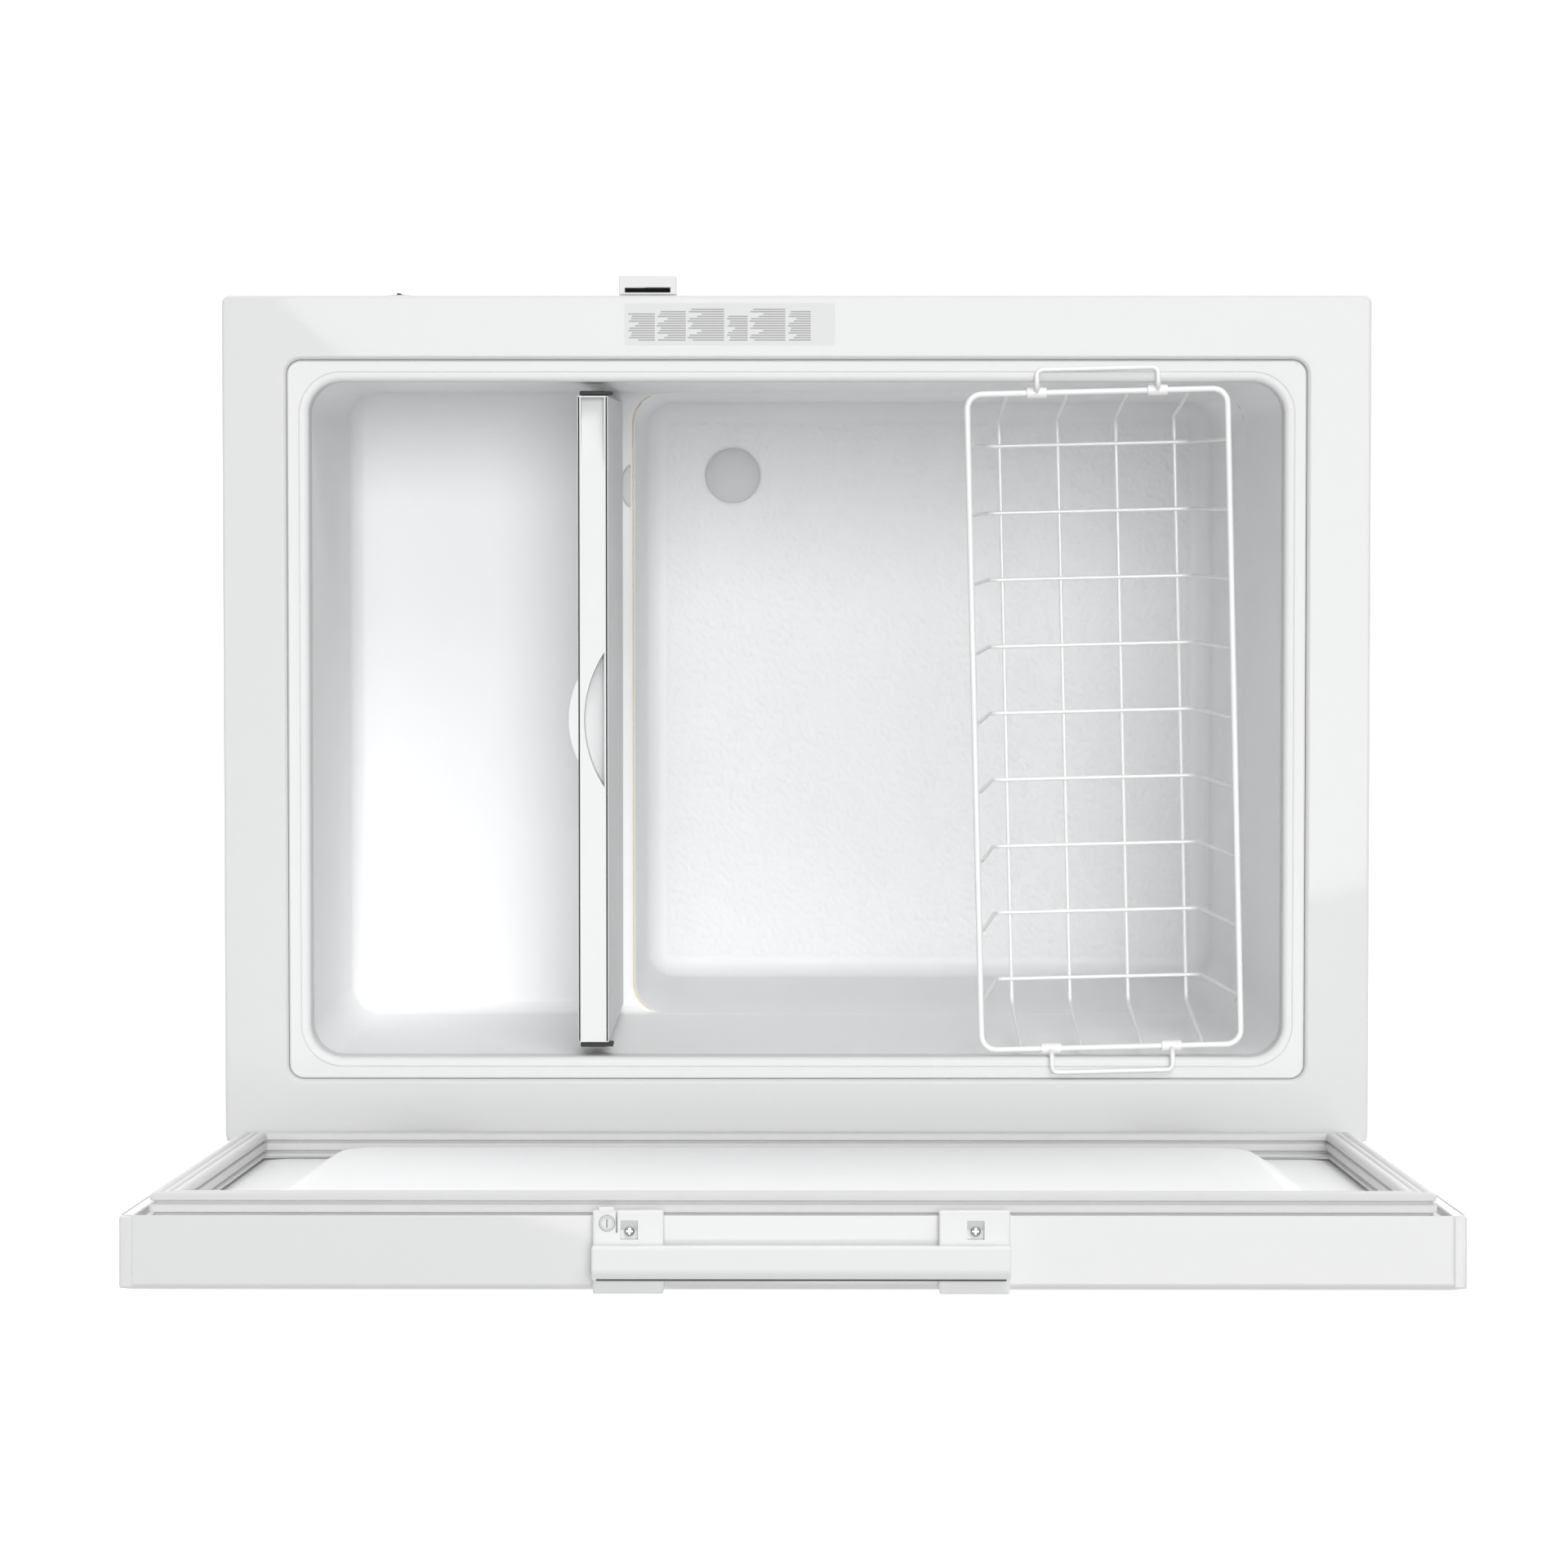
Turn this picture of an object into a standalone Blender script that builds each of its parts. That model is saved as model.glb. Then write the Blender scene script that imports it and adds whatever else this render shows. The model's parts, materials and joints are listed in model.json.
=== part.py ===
"""Chest freezer with its lid standing open: cabinet, tank, lid, basket, divider and cooling circuit.

Metres, +Z up. X runs along the front, with the compressor at +X; -Y is the front and the hinges are at +Y.
The origin is on the floor, under the middle of the freezer's box at rest.
"""

import math

import bmesh
import bpy
from mathutils import Matrix, Vector

# Driving dimensions
WIDTH = 0.930
DEPTH = 0.688
DECK_Z = 0.850
CENTRE_Y = -0.01459
CORNER = 0.007
GAP = 0.0003
SHEET = 0.0012
ARC = 4

BAND = 0.052
LEDGE = 0.070
LEDGE_DROP = 0.004
FLANGE = 0.012
FRAME_DEPTH = 0.030

MOUTH_CORNER = 0.026
STEP_DEPTH = 0.370
WELL_DEPTH = 0.720
DRAFT = 0.010
RISER_X = 0.144

BASE_Z = 0.028
FOOT_R = 0.020
FOOT_INSET = 0.060
BAY_X = 0.200
BAY_Z = 0.435
BAY_FRONT = 0.046

LID_OPEN = math.radians(87.4)
LID_THICK = 0.052
LID_LIFT = 0.006
LID_OVERHANG = 0.001
GASKET_INSET = 0.017
GASKET_WIDE = 0.022
GASKET_TALL = 0.012
PLATEAU_INSET = 0.091
PLATEAU_SLOPE = 0.020
PLATEAU_TALL = 0.014
HINGE_BACK = 0.008
HINGE_UP = 0.012
HINGE_X = 0.300
HINGE_WIDE = 0.060
PIN_R = 0.003
KNUCKLE_R = 0.0055

TUBE_R = 0.0040
PIPE_R = 0.0030
EVAPORATOR_GAP = (0.05, 0.11)
EVAPORATOR_END_X = 0.24
CONDENSER_GAP = (0.25, 0.31)
CONDENSER_LEVELS = (0.50, 0.58, 0.66, 0.74)

BASKET_X = (-0.3555, -0.1445)
BASKET_SKEW = math.radians(1.4)
BASKET_Y = 0.2665
BASKET_TALL = 0.200
BASKET_TAPER = 0.019
RIM_DROP = 0.010
RIM_R = 0.0025
WIRE_R = 0.0016
GRIP_R = 0.0020
GRIP_HALF = 0.049
GRIP_RISE = 0.0036
LONG_WIRES = 4
CROSS_WIRES = 9

DIVIDER_X = (0.153, 0.178)
DIVIDER_LONG = 0.534
DIVIDER_TOP = 0.012
CLIP_LONG = 0.004

HANDLE_X = 0.138
HANDLE_LONG = 0.288
HANDLE_END = 0.049
FOOT_THICK = 0.012
BAR_THICK = 0.012
LOCK_UP = 0.0045
LOCK_X = 0.128
KEEPER_X = 0.1205
CAM_LONG = 0.022

FRONT_Y = CENTRE_Y - DEPTH / 2
REAR_Y = CENTRE_Y + DEPTH / 2
HALF = WIDTH / 2
STEP_Z = DECK_Z - STEP_DEPTH
WELL_Z = DECK_Z - WELL_DEPTH
HINGE = Vector((0, REAR_Y + HINGE_BACK, DECK_Z + HINGE_UP))
COMPRESSOR = Vector((0.325, CENTRE_Y + 0.12, 0.0))
DRAIN = Vector((0.062, CENTRE_Y - 0.200, WELL_Z))
CONTROL = Vector((0.345, FRONT_Y, 0.120))

STEEL = ("white_enamel", (0.80, 0.81, 0.82), 0.35, 0.0)
PLASTIC = ("white_plastic", (0.82, 0.83, 0.84), 0.45, 0.0)
TANK = ("embossed_liner", (0.78, 0.80, 0.82), 0.40, 0.1)
GASKET = ("gasket_vinyl", (0.62, 0.63, 0.64), 0.60, 0.0)
FOAM = ("insulation_foam", (0.83, 0.74, 0.50), 0.90, 0.0)
COPPER = ("copper_tube", (0.72, 0.38, 0.25), 0.30, 1.0)
GALVANISED = ("galvanised_steel", (0.55, 0.57, 0.59), 0.40, 1.0)
BLACK = ("black_enamel", (0.02, 0.02, 0.02), 0.35, 0.0)
DARK = ("dark_plastic", (0.05, 0.05, 0.06), 0.50, 0.0)
GREY = ("grey_plastic", (0.55, 0.57, 0.60), 0.50, 0.0)
RUBBER = ("black_rubber", (0.03, 0.03, 0.03), 0.80, 0.0)
WIRE = ("coated_wire", (0.88, 0.88, 0.88), 0.35, 0.0)
BRIGHT = ("plated_steel", (0.70, 0.70, 0.72), 0.25, 1.0)
LENS = ("green_lens", (0.05, 0.45, 0.12), 0.20, 0.0)


def clear_scene():
    for old in list(bpy.data.objects):
        bpy.data.objects.remove(old)


def new_collection(name, rendered):
    made = bpy.data.collections.new(name)
    bpy.context.scene.collection.children.link(made)
    made.hide_render = not rendered
    return made


def material(look):
    name, colour, roughness, metallic = look
    if name in bpy.data.materials:
        return bpy.data.materials[name]
    made = bpy.data.materials.new(name)
    made.use_nodes = True
    shader = made.node_tree.nodes["Principled BSDF"]
    shader.inputs["Base Color"].default_value = (*colour, 1)
    shader.inputs["Roughness"].default_value = roughness
    shader.inputs["Metallic"].default_value = metallic
    return made


def add(name, mesh, look, soft=False):
    """Links an object for a finished mesh, as a part if it has a look and as a cutter if not."""
    made = bpy.data.objects.new(name, mesh)
    if look:
        PARTS.objects.link(made)
        mesh.materials.append(material(look))
    else:
        CUTTERS.objects.link(made)
        made.hide_render = True
        made.display_type = "WIRE"
    if soft:
        mesh.shade_smooth()
        mesh.set_sharp_from_angle(angle=math.radians(35))
    return made


def mesh_from(name, build):
    """A mesh that build(bm) fills, welded, with its faces turned outwards."""
    bm = bmesh.new()
    build(bm)
    bmesh.ops.remove_doubles(bm, verts=bm.verts, dist=1e-6)
    bmesh.ops.recalc_face_normals(bm, faces=bm.faces)
    mesh = bpy.data.meshes.new(name)
    bm.to_mesh(mesh)
    bm.free()
    return mesh


def block(name, low, high, look=None, bevel=0.0):
    low, high = Vector(low), Vector(high)

    def build(bm):
        bmesh.ops.create_cube(bm, size=1, matrix=Matrix.Diagonal((*(high - low), 1)))

    made = add(name, mesh_from(name, build), look)
    made.location = (low + high) / 2
    if bevel:
        rounded(made, bevel)
    return made


def rounded(piece, width, segments=2):
    modifier = piece.modifiers.new("Round", "BEVEL")
    modifier.width = width
    modifier.segments = segments
    modifier.limit_method = "ANGLE"
    modifier.angle_limit = math.radians(40)


def arc(centre, radius, start, end, steps=ARC):
    """Points from angle start to angle end, in degrees, both included."""
    turns = [math.radians(start + (end - start) * i / steps) for i in range(steps + 1)]
    return [(centre[0] + radius * math.cos(t), centre[1] + radius * math.sin(t)) for t in turns]


def rounded_box(x0, y0, x1, y1, radius):
    """An outline that starts at the rear right corner and runs round by the front."""
    corners = [(x1, y1, 90, 0), (x1, y0, 0, -90), (x0, y0, -90, -180), (x0, y1, -180, -270)]
    points = []
    for x, y, start, end in corners:
        centre = (x - radius if x == x1 else x + radius, y - radius if y == y1 else y + radius)
        points += arc(centre, radius, start, end)
    return points


def centred_box(inset, radius):
    """The freezer's plan, drawn in by inset on all four sides."""
    return rounded_box(-HALF + inset, FRONT_Y + inset, HALF - inset, REAR_Y - inset, radius)


def drop_curve(curve):
    data = curve.data
    bpy.data.objects.remove(curve)
    bpy.data.curves.remove(data)


def solid_of(curve, name, look, soft=False):
    """The closed mesh object that a curve draws, with its caps welded. The curve is removed."""
    bpy.context.view_layer.update()
    graph = bpy.context.evaluated_depsgraph_get()
    drawn = bpy.data.meshes.new_from_object(curve.evaluated_get(graph))
    placed = curve.matrix_world.copy()
    drop_curve(curve)

    mesh = mesh_from(name, lambda bm: bm.from_mesh(drawn))
    mesh.materials.clear()
    bpy.data.meshes.remove(drawn)
    made = add(name, mesh, look, soft)
    made.matrix_world = placed
    return made


def spline_curve(name, lines, cyclic, dimensions):
    data = bpy.data.curves.new(name, "CURVE")
    data.dimensions = dimensions
    for points in lines:
        spline = data.splines.new("POLY")
        spline.points.add(len(points) - 1)
        spline.use_cyclic_u = cyclic
        for slot, point in zip(spline.points, points):
            slot.co = (*point, *([0] * (3 - len(point))), 1)
    made = bpy.data.objects.new(name, data)
    CUTTERS.objects.link(made)
    return made


def prism(name, outlines, z0, z1, look=None, bevel=0.0):
    """A flat outline, with the outlines inside it as holes, drawn out from z0 to z1."""
    curve = spline_curve(name + "_outline", outlines, True, "2D")
    curve.data.fill_mode = "BOTH"
    curve.data.extrude = (z1 - z0) / 2
    curve.location.z = (z0 + z1) / 2
    made = solid_of(curve, name, look)
    if bevel:
        rounded(made, bevel)
    return made


def tube(name, points, radius, look=None, cyclic=False, sides=2):
    curve = spline_curve(name + "_path", [points], cyclic, "3D")
    curve.data.bevel_depth = radius
    curve.data.bevel_resolution = sides
    curve.data.use_fill_caps = True
    return solid_of(curve, name, look, soft=True)


def turned(name, profile, at, look, axis="Z", steps=24):
    """A profile of (radius, height) points, top to bottom, turned round an axis through at."""
    mesh = bpy.data.meshes.new(name)
    closed = [(len(profile) - 1, 0)] if profile[0][0] > 0 else []
    edges = [(i, i + 1) for i in range(len(profile) - 1)] + closed
    mesh.from_pydata([(r, 0, z) for r, z in profile], edges, [])
    made = add(name, mesh, look)
    screw = made.modifiers.new("Turn", "SCREW")
    screw.steps = screw.render_steps = steps
    screw.use_merge_vertices = True
    screw.merge_threshold = 1e-5
    screw.use_smooth_shade = True
    turn = {"Z": (0, 0, 0), "-Y": (math.radians(90), 0, 0), "Y": (math.radians(-90), 0, 0)}
    turn["X"] = (0, math.radians(90), 0)
    made.rotation_euler = turn[axis]
    made.location = at
    return made


def rod(name, radius, half, at, axis="X"):
    """A cylinder that reaches half its length each way along an axis, for joining or cutting."""
    return turned(name, [(0, half), (radius, half), (radius, -half), (0, -half)], at, None, axis, 16)


def loft(name, rings, look=None, open_start=False, open_end=False):
    """A skin through outlines with equal counts of points, each at its own height."""

    def build(bm):
        loops = [[bm.verts.new((x, y, z)) for x, y in line] for line, z in rings]
        for low, high in zip(loops, loops[1:]):
            for i in range(len(low)):
                j = (i + 1) % len(low)
                bm.faces.new((low[i], low[j], high[j], high[i]))
        if not open_start:
            bm.faces.new(loops[0])
        if not open_end:
            bm.faces.new(loops[-1])

    return add(name, mesh_from(name, build), look)


def boolean(piece, other, operation="DIFFERENCE"):
    modifier = piece.modifiers.new(other.name, "BOOLEAN")
    modifier.operation = operation
    modifier.object = other


def cut_all(piece, cutters):
    for cutter in cutters:
        boolean(piece, cutter)


def thicken(piece, thickness, side):
    modifier = piece.modifiers.new("Sheet", "SOLIDIFY")
    modifier.thickness = thickness
    modifier.offset = side
    modifier.use_even_offset = True


def joint(name, point, parent=None, rest=(0, 0, 0)):
    """An empty on a joint's axis, turned by rest. The point is where it lies before its parent turns."""
    made = bpy.data.objects.new(name, None)
    PARTS.objects.link(made)
    made["closed"] = tuple(point)
    made.location = Vector(point) - (Vector(parent["closed"]) if parent else Vector())
    made.rotation_euler = rest
    made.parent = parent
    return made


def hang(pieces, on):
    """Puts pieces that are placed as before the joint turns onto the joint that carries them."""
    for piece in pieces:
        piece.location -= Vector(on["closed"])
        piece.parent = on


# Cabinet

def make_shell():
    """Front and sides are one folded sheet, the back a flat one with a notch at the compressor bay."""
    top = DECK_Z - FLANGE - GAP
    outer = rounded_box(-HALF, FRONT_Y, HALF, REAR_Y, CORNER)
    inner = rounded_box(-HALF + SHEET, FRONT_Y + SHEET, HALF - SHEET, REAR_Y, CORNER - SHEET)
    side = ARC + 1
    outside = [(HALF, REAR_Y)] + outer[side : 3 * side] + [(-HALF, REAR_Y)]
    inside = [(-HALF + SHEET, REAR_Y)] + inner[side : 3 * side][::-1] + [(HALF - SHEET, REAR_Y)]
    wrap = prism("outer_wrap", [outside + inside], BASE_Z, top, STEEL)

    hole = block(
        "vent_hole", (HALF - 0.02, CENTRE_Y - 0.02, 0.10), (HALF + 0.02, CENTRE_Y + 0.18, 0.26)
    )
    shaft = block(
        "control_hole",
        (CONTROL.x - 0.050, FRONT_Y - 0.02, CONTROL.z - 0.020),
        (CONTROL.x + 0.050, FRONT_Y + 0.02, CONTROL.z + 0.020),
    )
    cut_all(wrap, [hole, shaft, DRAIN_HOLE])

    x0, x1 = -HALF + SHEET + GAP, HALF - SHEET - GAP
    notch = [(x0, BASE_Z), (BAY_X, BASE_Z), (BAY_X, BAY_Z), (x1, BAY_Z), (x1, top), (x0, top)]
    rear = prism("rear_panel", [notch], -SHEET, 0, GALVANISED)
    stand_up(rear, REAR_Y - SHEET)


def stand_up(piece, y):
    """Turns a plate drawn in x and height so that it stands, with its back face at y + its thickness."""
    piece.matrix_world = (
        Matrix.Translation((0, y, 0)) @ Matrix.Rotation(math.radians(90), 4, "X") @ piece.matrix_world
    )


def slots(x0, x1, z0, z1, count, tall):
    """Outlines of level slots, spread evenly from z0 to z1."""
    pitch = (z1 - z0 - tall) / (count - 1)
    lows = [z0 + pitch * i for i in range(count)]
    return [[(x0, z), (x1, z), (x1, z + tall), (x0, z + tall)] for z in lows]


def make_bay_covers():
    """Slotted covers on the side vent and over the back of the compressor bay."""
    x0, x1 = BAY_X + GAP, HALF - SHEET - 2 * GAP
    z0, z1 = BASE_Z + GAP, BAY_Z - GAP
    frame = [(x0, z0), (x1, z0), (x1, z1), (x0, z1)]
    cover = prism(
        "bay_cover", [frame] + slots(x0 + 0.04, x1 - 0.04, 0.16, 0.38, 8, 0.010), -SHEET, 0, GALVANISED
    )
    stand_up(cover, REAR_Y - SHEET)
    boolean(cover, block("gland_hole", (0.403, REAR_Y - 0.01, 0.083), (0.417, REAR_Y + 0.01, 0.097)))

    y0, y1, z0, z1 = CENTRE_Y - 0.0197, CENTRE_Y + 0.1797, 0.1003, 0.2597
    plate = [(y0, z0), (y1, z0), (y1, z1), (y0, z1)]
    grille = prism(
        "vent_grille", [plate] + slots(y0 + 0.015, y1 - 0.015, 0.114, 0.246, 8, 0.009), 0, 0.004, PLASTIC
    )
    upright = Matrix(((0, 0, 1, HALF - 0.004), (1, 0, 0, 0), (0, 1, 0, 0), (0, 0, 0, 1)))
    grille.matrix_world = upright @ grille.matrix_world

    bore, neck, flange = 0.004, 0.0065, 0.011
    profile = [
        (bore, 0.010), (neck + 0.002, 0.010), (flange, 0.006), (flange, GAP),
        (neck, GAP), (neck, -0.008), (bore, -0.008),
    ]
    turned("cord_gland", profile, (0.410, REAR_Y, 0.090), RUBBER, "Y")


def make_base():
    inset = SHEET + GAP
    base = prism("base_pan", [centred_box(inset, CORNER - SHEET)], BASE_Z, BASE_Z + SHEET, GALVANISED)
    base.location.z -= SHEET + GAP
    height = BASE_Z - SHEET - 2 * GAP
    profile = [(0, height), (0.012, height), (0.012, 0.014), (FOOT_R, 0.012), (FOOT_R, 0.002)]
    profile += [(FOOT_R - 0.002, 0), (0, 0)]
    for side, x in (("left", -1), ("right", 1)):
        for end, y in (("front", -1), ("rear", 1)):
            at = (x * (HALF - FOOT_INSET), CENTRE_Y + y * (DEPTH / 2 - FOOT_INSET), 0)
            turned(f"foot_{end}_{side}", profile, at, DARK, steps=20)


def make_top():
    """The steel flange folded in over the walls, and the plastic frame between it and the tank."""
    prism(
        "top_flange",
        [centred_box(0, CORNER), centred_box(BAND, 0.012)],
        DECK_Z - FLANGE,
        DECK_Z,
        STEEL,
    )
    prism(
        "breaker_frame",
        [centred_box(BAND + GAP, 0.012), centred_box(LEDGE, MOUTH_CORNER)],
        DECK_Z - FRAME_DEPTH,
        DECK_Z - LEDGE_DROP,
        PLASTIC,
    )


def tank_rings(grow, top):
    """The tank's inside, drawn out by grow: the deep well on the left, and the step over the bay."""
    reach_x, reach_y = HALF - LEDGE + grow, DEPTH / 2 - LEDGE + grow

    def plan(depth, right, inset=0.0):
        lean = DRAFT * depth / WELL_DEPTH + inset
        return rounded_box(
            -reach_x + lean,
            CENTRE_Y - reach_y + lean / 2,
            (reach_x - lean) if right is None else right + grow - inset,
            CENTRE_Y + reach_y - lean / 2,
            MOUTH_CORNER + grow,
        )

    step, floor, fillet = STEP_Z - grow, WELL_Z - grow, 0.008
    return [
        (plan(WELL_DEPTH, RISER_X, fillet), floor),
        (plan(WELL_DEPTH, RISER_X, 0.002), floor + fillet),
        (plan(STEP_DEPTH, RISER_X, 0.002), step),
        (plan(STEP_DEPTH, None), step),
        (plan(DECK_Z - top, None), top),
    ]


def make_tank():
    top = DECK_Z - FRAME_DEPTH - GAP
    liner = loft("inner_liner", tank_rings(0, top), TANK, open_end=True)
    thicken(liner, SHEET, 1)
    mouth = [(0, 0.03), (0.008, 0.03), (0.008, -0.03), (0, -0.03)]
    boolean(liner, turned("drain_mouth", mouth, DRAIN, None))


def make_foam():
    inset = SHEET + GAP
    low, high = BASE_Z + GAP, DECK_Z - FRAME_DEPTH - GAP
    foam = prism("insulation_foam", [centred_box(inset + GAP, CORNER)], low, high, FOAM)
    tank = loft("tank_room", tank_rings(SHEET + GAP, high + 0.05))
    bay = block(
        "bay_room", (BAY_X, FRONT_Y + BAY_FRONT, 0.0), (HALF + 0.1, REAR_Y + 0.1, BAY_Z)
    )
    pocket = block(
        "control_room",
        (CONTROL.x - 0.055, FRONT_Y - 0.02, CONTROL.z - 0.025),
        (CONTROL.x + 0.055, FRONT_Y + BAY_FRONT + 0.02, CONTROL.z + 0.025),
    )
    elbow = block(
        "drain_elbow", (DRAIN.x - 0.010, DRAIN.y - 0.032, 0.050), (DRAIN.x + 0.010, DRAIN.y, 0.082)
    )
    cut_all(foam, [tank, bay, pocket] + coil_rooms() + [DRAIN_BORE, DRAIN_HOLE, elbow])


# Cooling circuit

def evaporator_levels():
    """(outline, height, reach of its groove) of each turn round the tank."""
    rest = SHEET + GAP + TUBE_R + GAP

    def turn(z, right):
        lean = DRAFT * (DECK_Z - z) / WELL_DEPTH
        x, y = HALF - LEDGE - lean + rest, DEPTH / 2 - LEDGE - lean / 2 + rest
        corner = MOUTH_CORNER + rest
        return rounded_box(-x, CENTRE_Y - y, x if right is None else right + rest, CENTRE_Y + y, corner)

    levels = ((0.22, RISER_X), (0.36, RISER_X), (0.56, None), (0.72, None))
    return [(turn(z, right), z) for z, right in levels]


def condenser_levels():
    inset = SHEET + 2 * GAP + PIPE_R + GAP
    return [(centred_box(inset, CORNER + 0.010), z) for z in CONDENSER_LEVELS]


def serpentine(levels, gap):
    """A path round each level in turn, turning back at a gap in the rear wall and rising there."""
    path = []
    for n, (outline, z) in enumerate(levels):
        rear = outline[0][1]
        turn = [(gap[1], rear)] + outline + [(gap[0], rear)]
        path += [(x, y, z) for x, y in (turn[::-1] if n % 2 else turn)]
    return path


def coil_rooms():
    """Grooves in the foam for the two coils, and the channels where they rise."""
    rooms = []
    for outline, z in evaporator_levels():
        xs, ys = [p[0] for p in outline], [p[1] for p in outline]
        reach = TUBE_R + GAP
        grown = rounded_box(
            min(xs) - reach, min(ys) - reach, max(xs) + reach, max(ys) + reach, MOUTH_CORNER + 2 * reach
        )
        rooms.append(prism(f"evaporator_groove_{z:.2f}", [grown], z - reach, z + reach))
    inset = SHEET + 2 * GAP + 2 * PIPE_R + 2 * GAP
    for z in CONDENSER_LEVELS:
        lines = [centred_box(-0.05, CORNER), centred_box(inset, CORNER + 0.008)]
        reach = PIPE_R + GAP
        rooms.append(prism(f"condenser_groove_{z:.2f}", lines, z - reach, z + reach))
    tank_rear = CENTRE_Y + DEPTH / 2 - LEDGE
    rooms.append(
        block("evaporator_rise", (0.040, tank_rear - 0.05, 0.210), (0.120, tank_rear + 0.014, 0.730))
    )
    rooms.append(
        block("suction_room", (0.220, tank_rear - 0.05, BAY_Z - 0.05), (0.244, tank_rear + 0.030, 0.732))
    )
    rooms.append(
        block("capillary_room", (0.088, tank_rear - 0.012, 0.204), (BAY_X + 0.05, tank_rear + 0.008, 0.227))
    )
    rooms.append(
        block("condenser_rise", (0.240, REAR_Y - inset, BAY_Z - 0.05), (0.320, REAR_Y + 0.05, 0.750))
    )
    return rooms


def make_coils():
    levels = evaporator_levels()
    path = serpentine(levels, EVAPORATOR_GAP)[:-1]
    rear = levels[-1][0][0][1]
    path.append((EVAPORATOR_END_X, rear, levels[-1][1]))
    tube("evaporator_coil", path, TUBE_R, BRIGHT)

    path = serpentine(condenser_levels(), CONDENSER_GAP)
    rear = path[0][1]
    middle = sum(CONDENSER_GAP) / 2
    path = [(CONDENSER_GAP[1], rear, 0.46)] + path
    drier_y = rear - 0.009
    path += [(middle, rear, CONDENSER_LEVELS[-1]), (middle, rear, 0.425)]
    path += [(middle, drier_y, 0.410), (middle, drier_y, 0.400)]
    tube("condenser_coil", path, PIPE_R, COPPER)

    tank_rear = levels[-1][0][0][1]
    suction = [
        (EVAPORATOR_END_X - GAP, tank_rear, levels[-1][1]),
        (EVAPORATOR_END_X - 0.005, tank_rear, levels[-1][1]),
        (EVAPORATOR_END_X - 0.010, tank_rear + 0.004, 0.717),
        (EVAPORATOR_END_X - 0.012, tank_rear + 0.012, 0.708),
        (EVAPORATOR_END_X - 0.012, tank_rear + 0.016, 0.695),
        (EVAPORATOR_END_X - 0.012, tank_rear + 0.016, 0.300),
        (EVAPORATOR_END_X, tank_rear - 0.010, 0.270),
        (COMPRESSOR.x - 0.060, COMPRESSOR.y + 0.075, 0.255),
        (COMPRESSOR.x - 0.030, COMPRESSOR.y + 0.030, 0.2435),
    ]
    tube("suction_tube", suction, PIPE_R, COPPER)

    discharge = [
        (COMPRESSOR.x + 0.030, COMPRESSOR.y + 0.020, 0.2435),
        (COMPRESSOR.x + 0.045, COMPRESSOR.y + 0.080, 0.270),
        (CONDENSER_GAP[1], rear - 0.010, 0.320),
        (CONDENSER_GAP[1], rear, 0.350),
        (CONDENSER_GAP[1], rear, 0.46 - GAP),
    ]
    tube("discharge_tube", discharge, PIPE_R, COPPER)

    drier = [(0, 0), (0.0034, 0), (0.009, -0.014), (0.009, -0.076), (0.002, -0.092), (0, -0.092)]
    turned("filter_drier", drier, (middle, drier_y, 0.400 - GAP), COPPER, steps=16)
    start_y = levels[0][0][0][1]
    capillary = [
        (middle, drier_y, 0.308 - 2 * GAP),
        (middle, drier_y, 0.270),
        (middle - 0.030, drier_y - 0.020, 0.225),
        (BAY_X + 0.020, start_y, 0.209),
        (0.098, start_y, 0.209),
        (0.094, start_y, 0.213),
        (0.094, start_y, 0.217),
        (0.098, start_y, 0.220),
        (EVAPORATOR_GAP[1] - GAP, start_y, 0.220),
    ]
    tube("capillary_tube", capillary, 0.0012, COPPER)


def make_compressor():
    """The hermetic pot on its plate and four rubber grommets, with its relay cover."""
    x, y = COMPRESSOR.x, COMPRESSOR.y
    plate_z = BASE_Z + 0.014
    profile = [
        (0, 0.196), (0.030, 0.193), (0.058, 0.178), (0.074, 0.150), (0.076, 0.110), (0.081, 0.108),
        (0.081, 0.102), (0.076, 0.100), (0.075, 0.050), (0.062, 0.018), (0.030, 0.002), (0, 0.002),
    ]
    turned("compressor_shell", profile, (x, y, plate_z + 0.003), BLACK)
    block(
        "compressor_mount",
        (x - 0.085, y - 0.060, plate_z),
        (x + 0.085, y + 0.060, plate_z + 0.003),
        GALVANISED,
    )
    grommet = [(0, plate_z - GAP - BASE_Z), (0.012, plate_z - GAP - BASE_Z), (0.012, 0.008)]
    grommet += [(0.009, 0.006), (0.013, GAP), (0, GAP)]
    spots = [(sx, sy) for sx in (-1, 1) for sy in (-1, 1)]
    for n, (sx, sy) in enumerate(spots, 1):
        turned(f"compressor_grommet_{n}", grommet, (x + sx * 0.070, y + sy * 0.045, BASE_Z), RUBBER, steps=16)
    block("relay_cover", (x - 0.028, y - 0.118, 0.090), (x + 0.028, y - 0.0825, 0.150), DARK, 0.004)


# Front fittings

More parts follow.
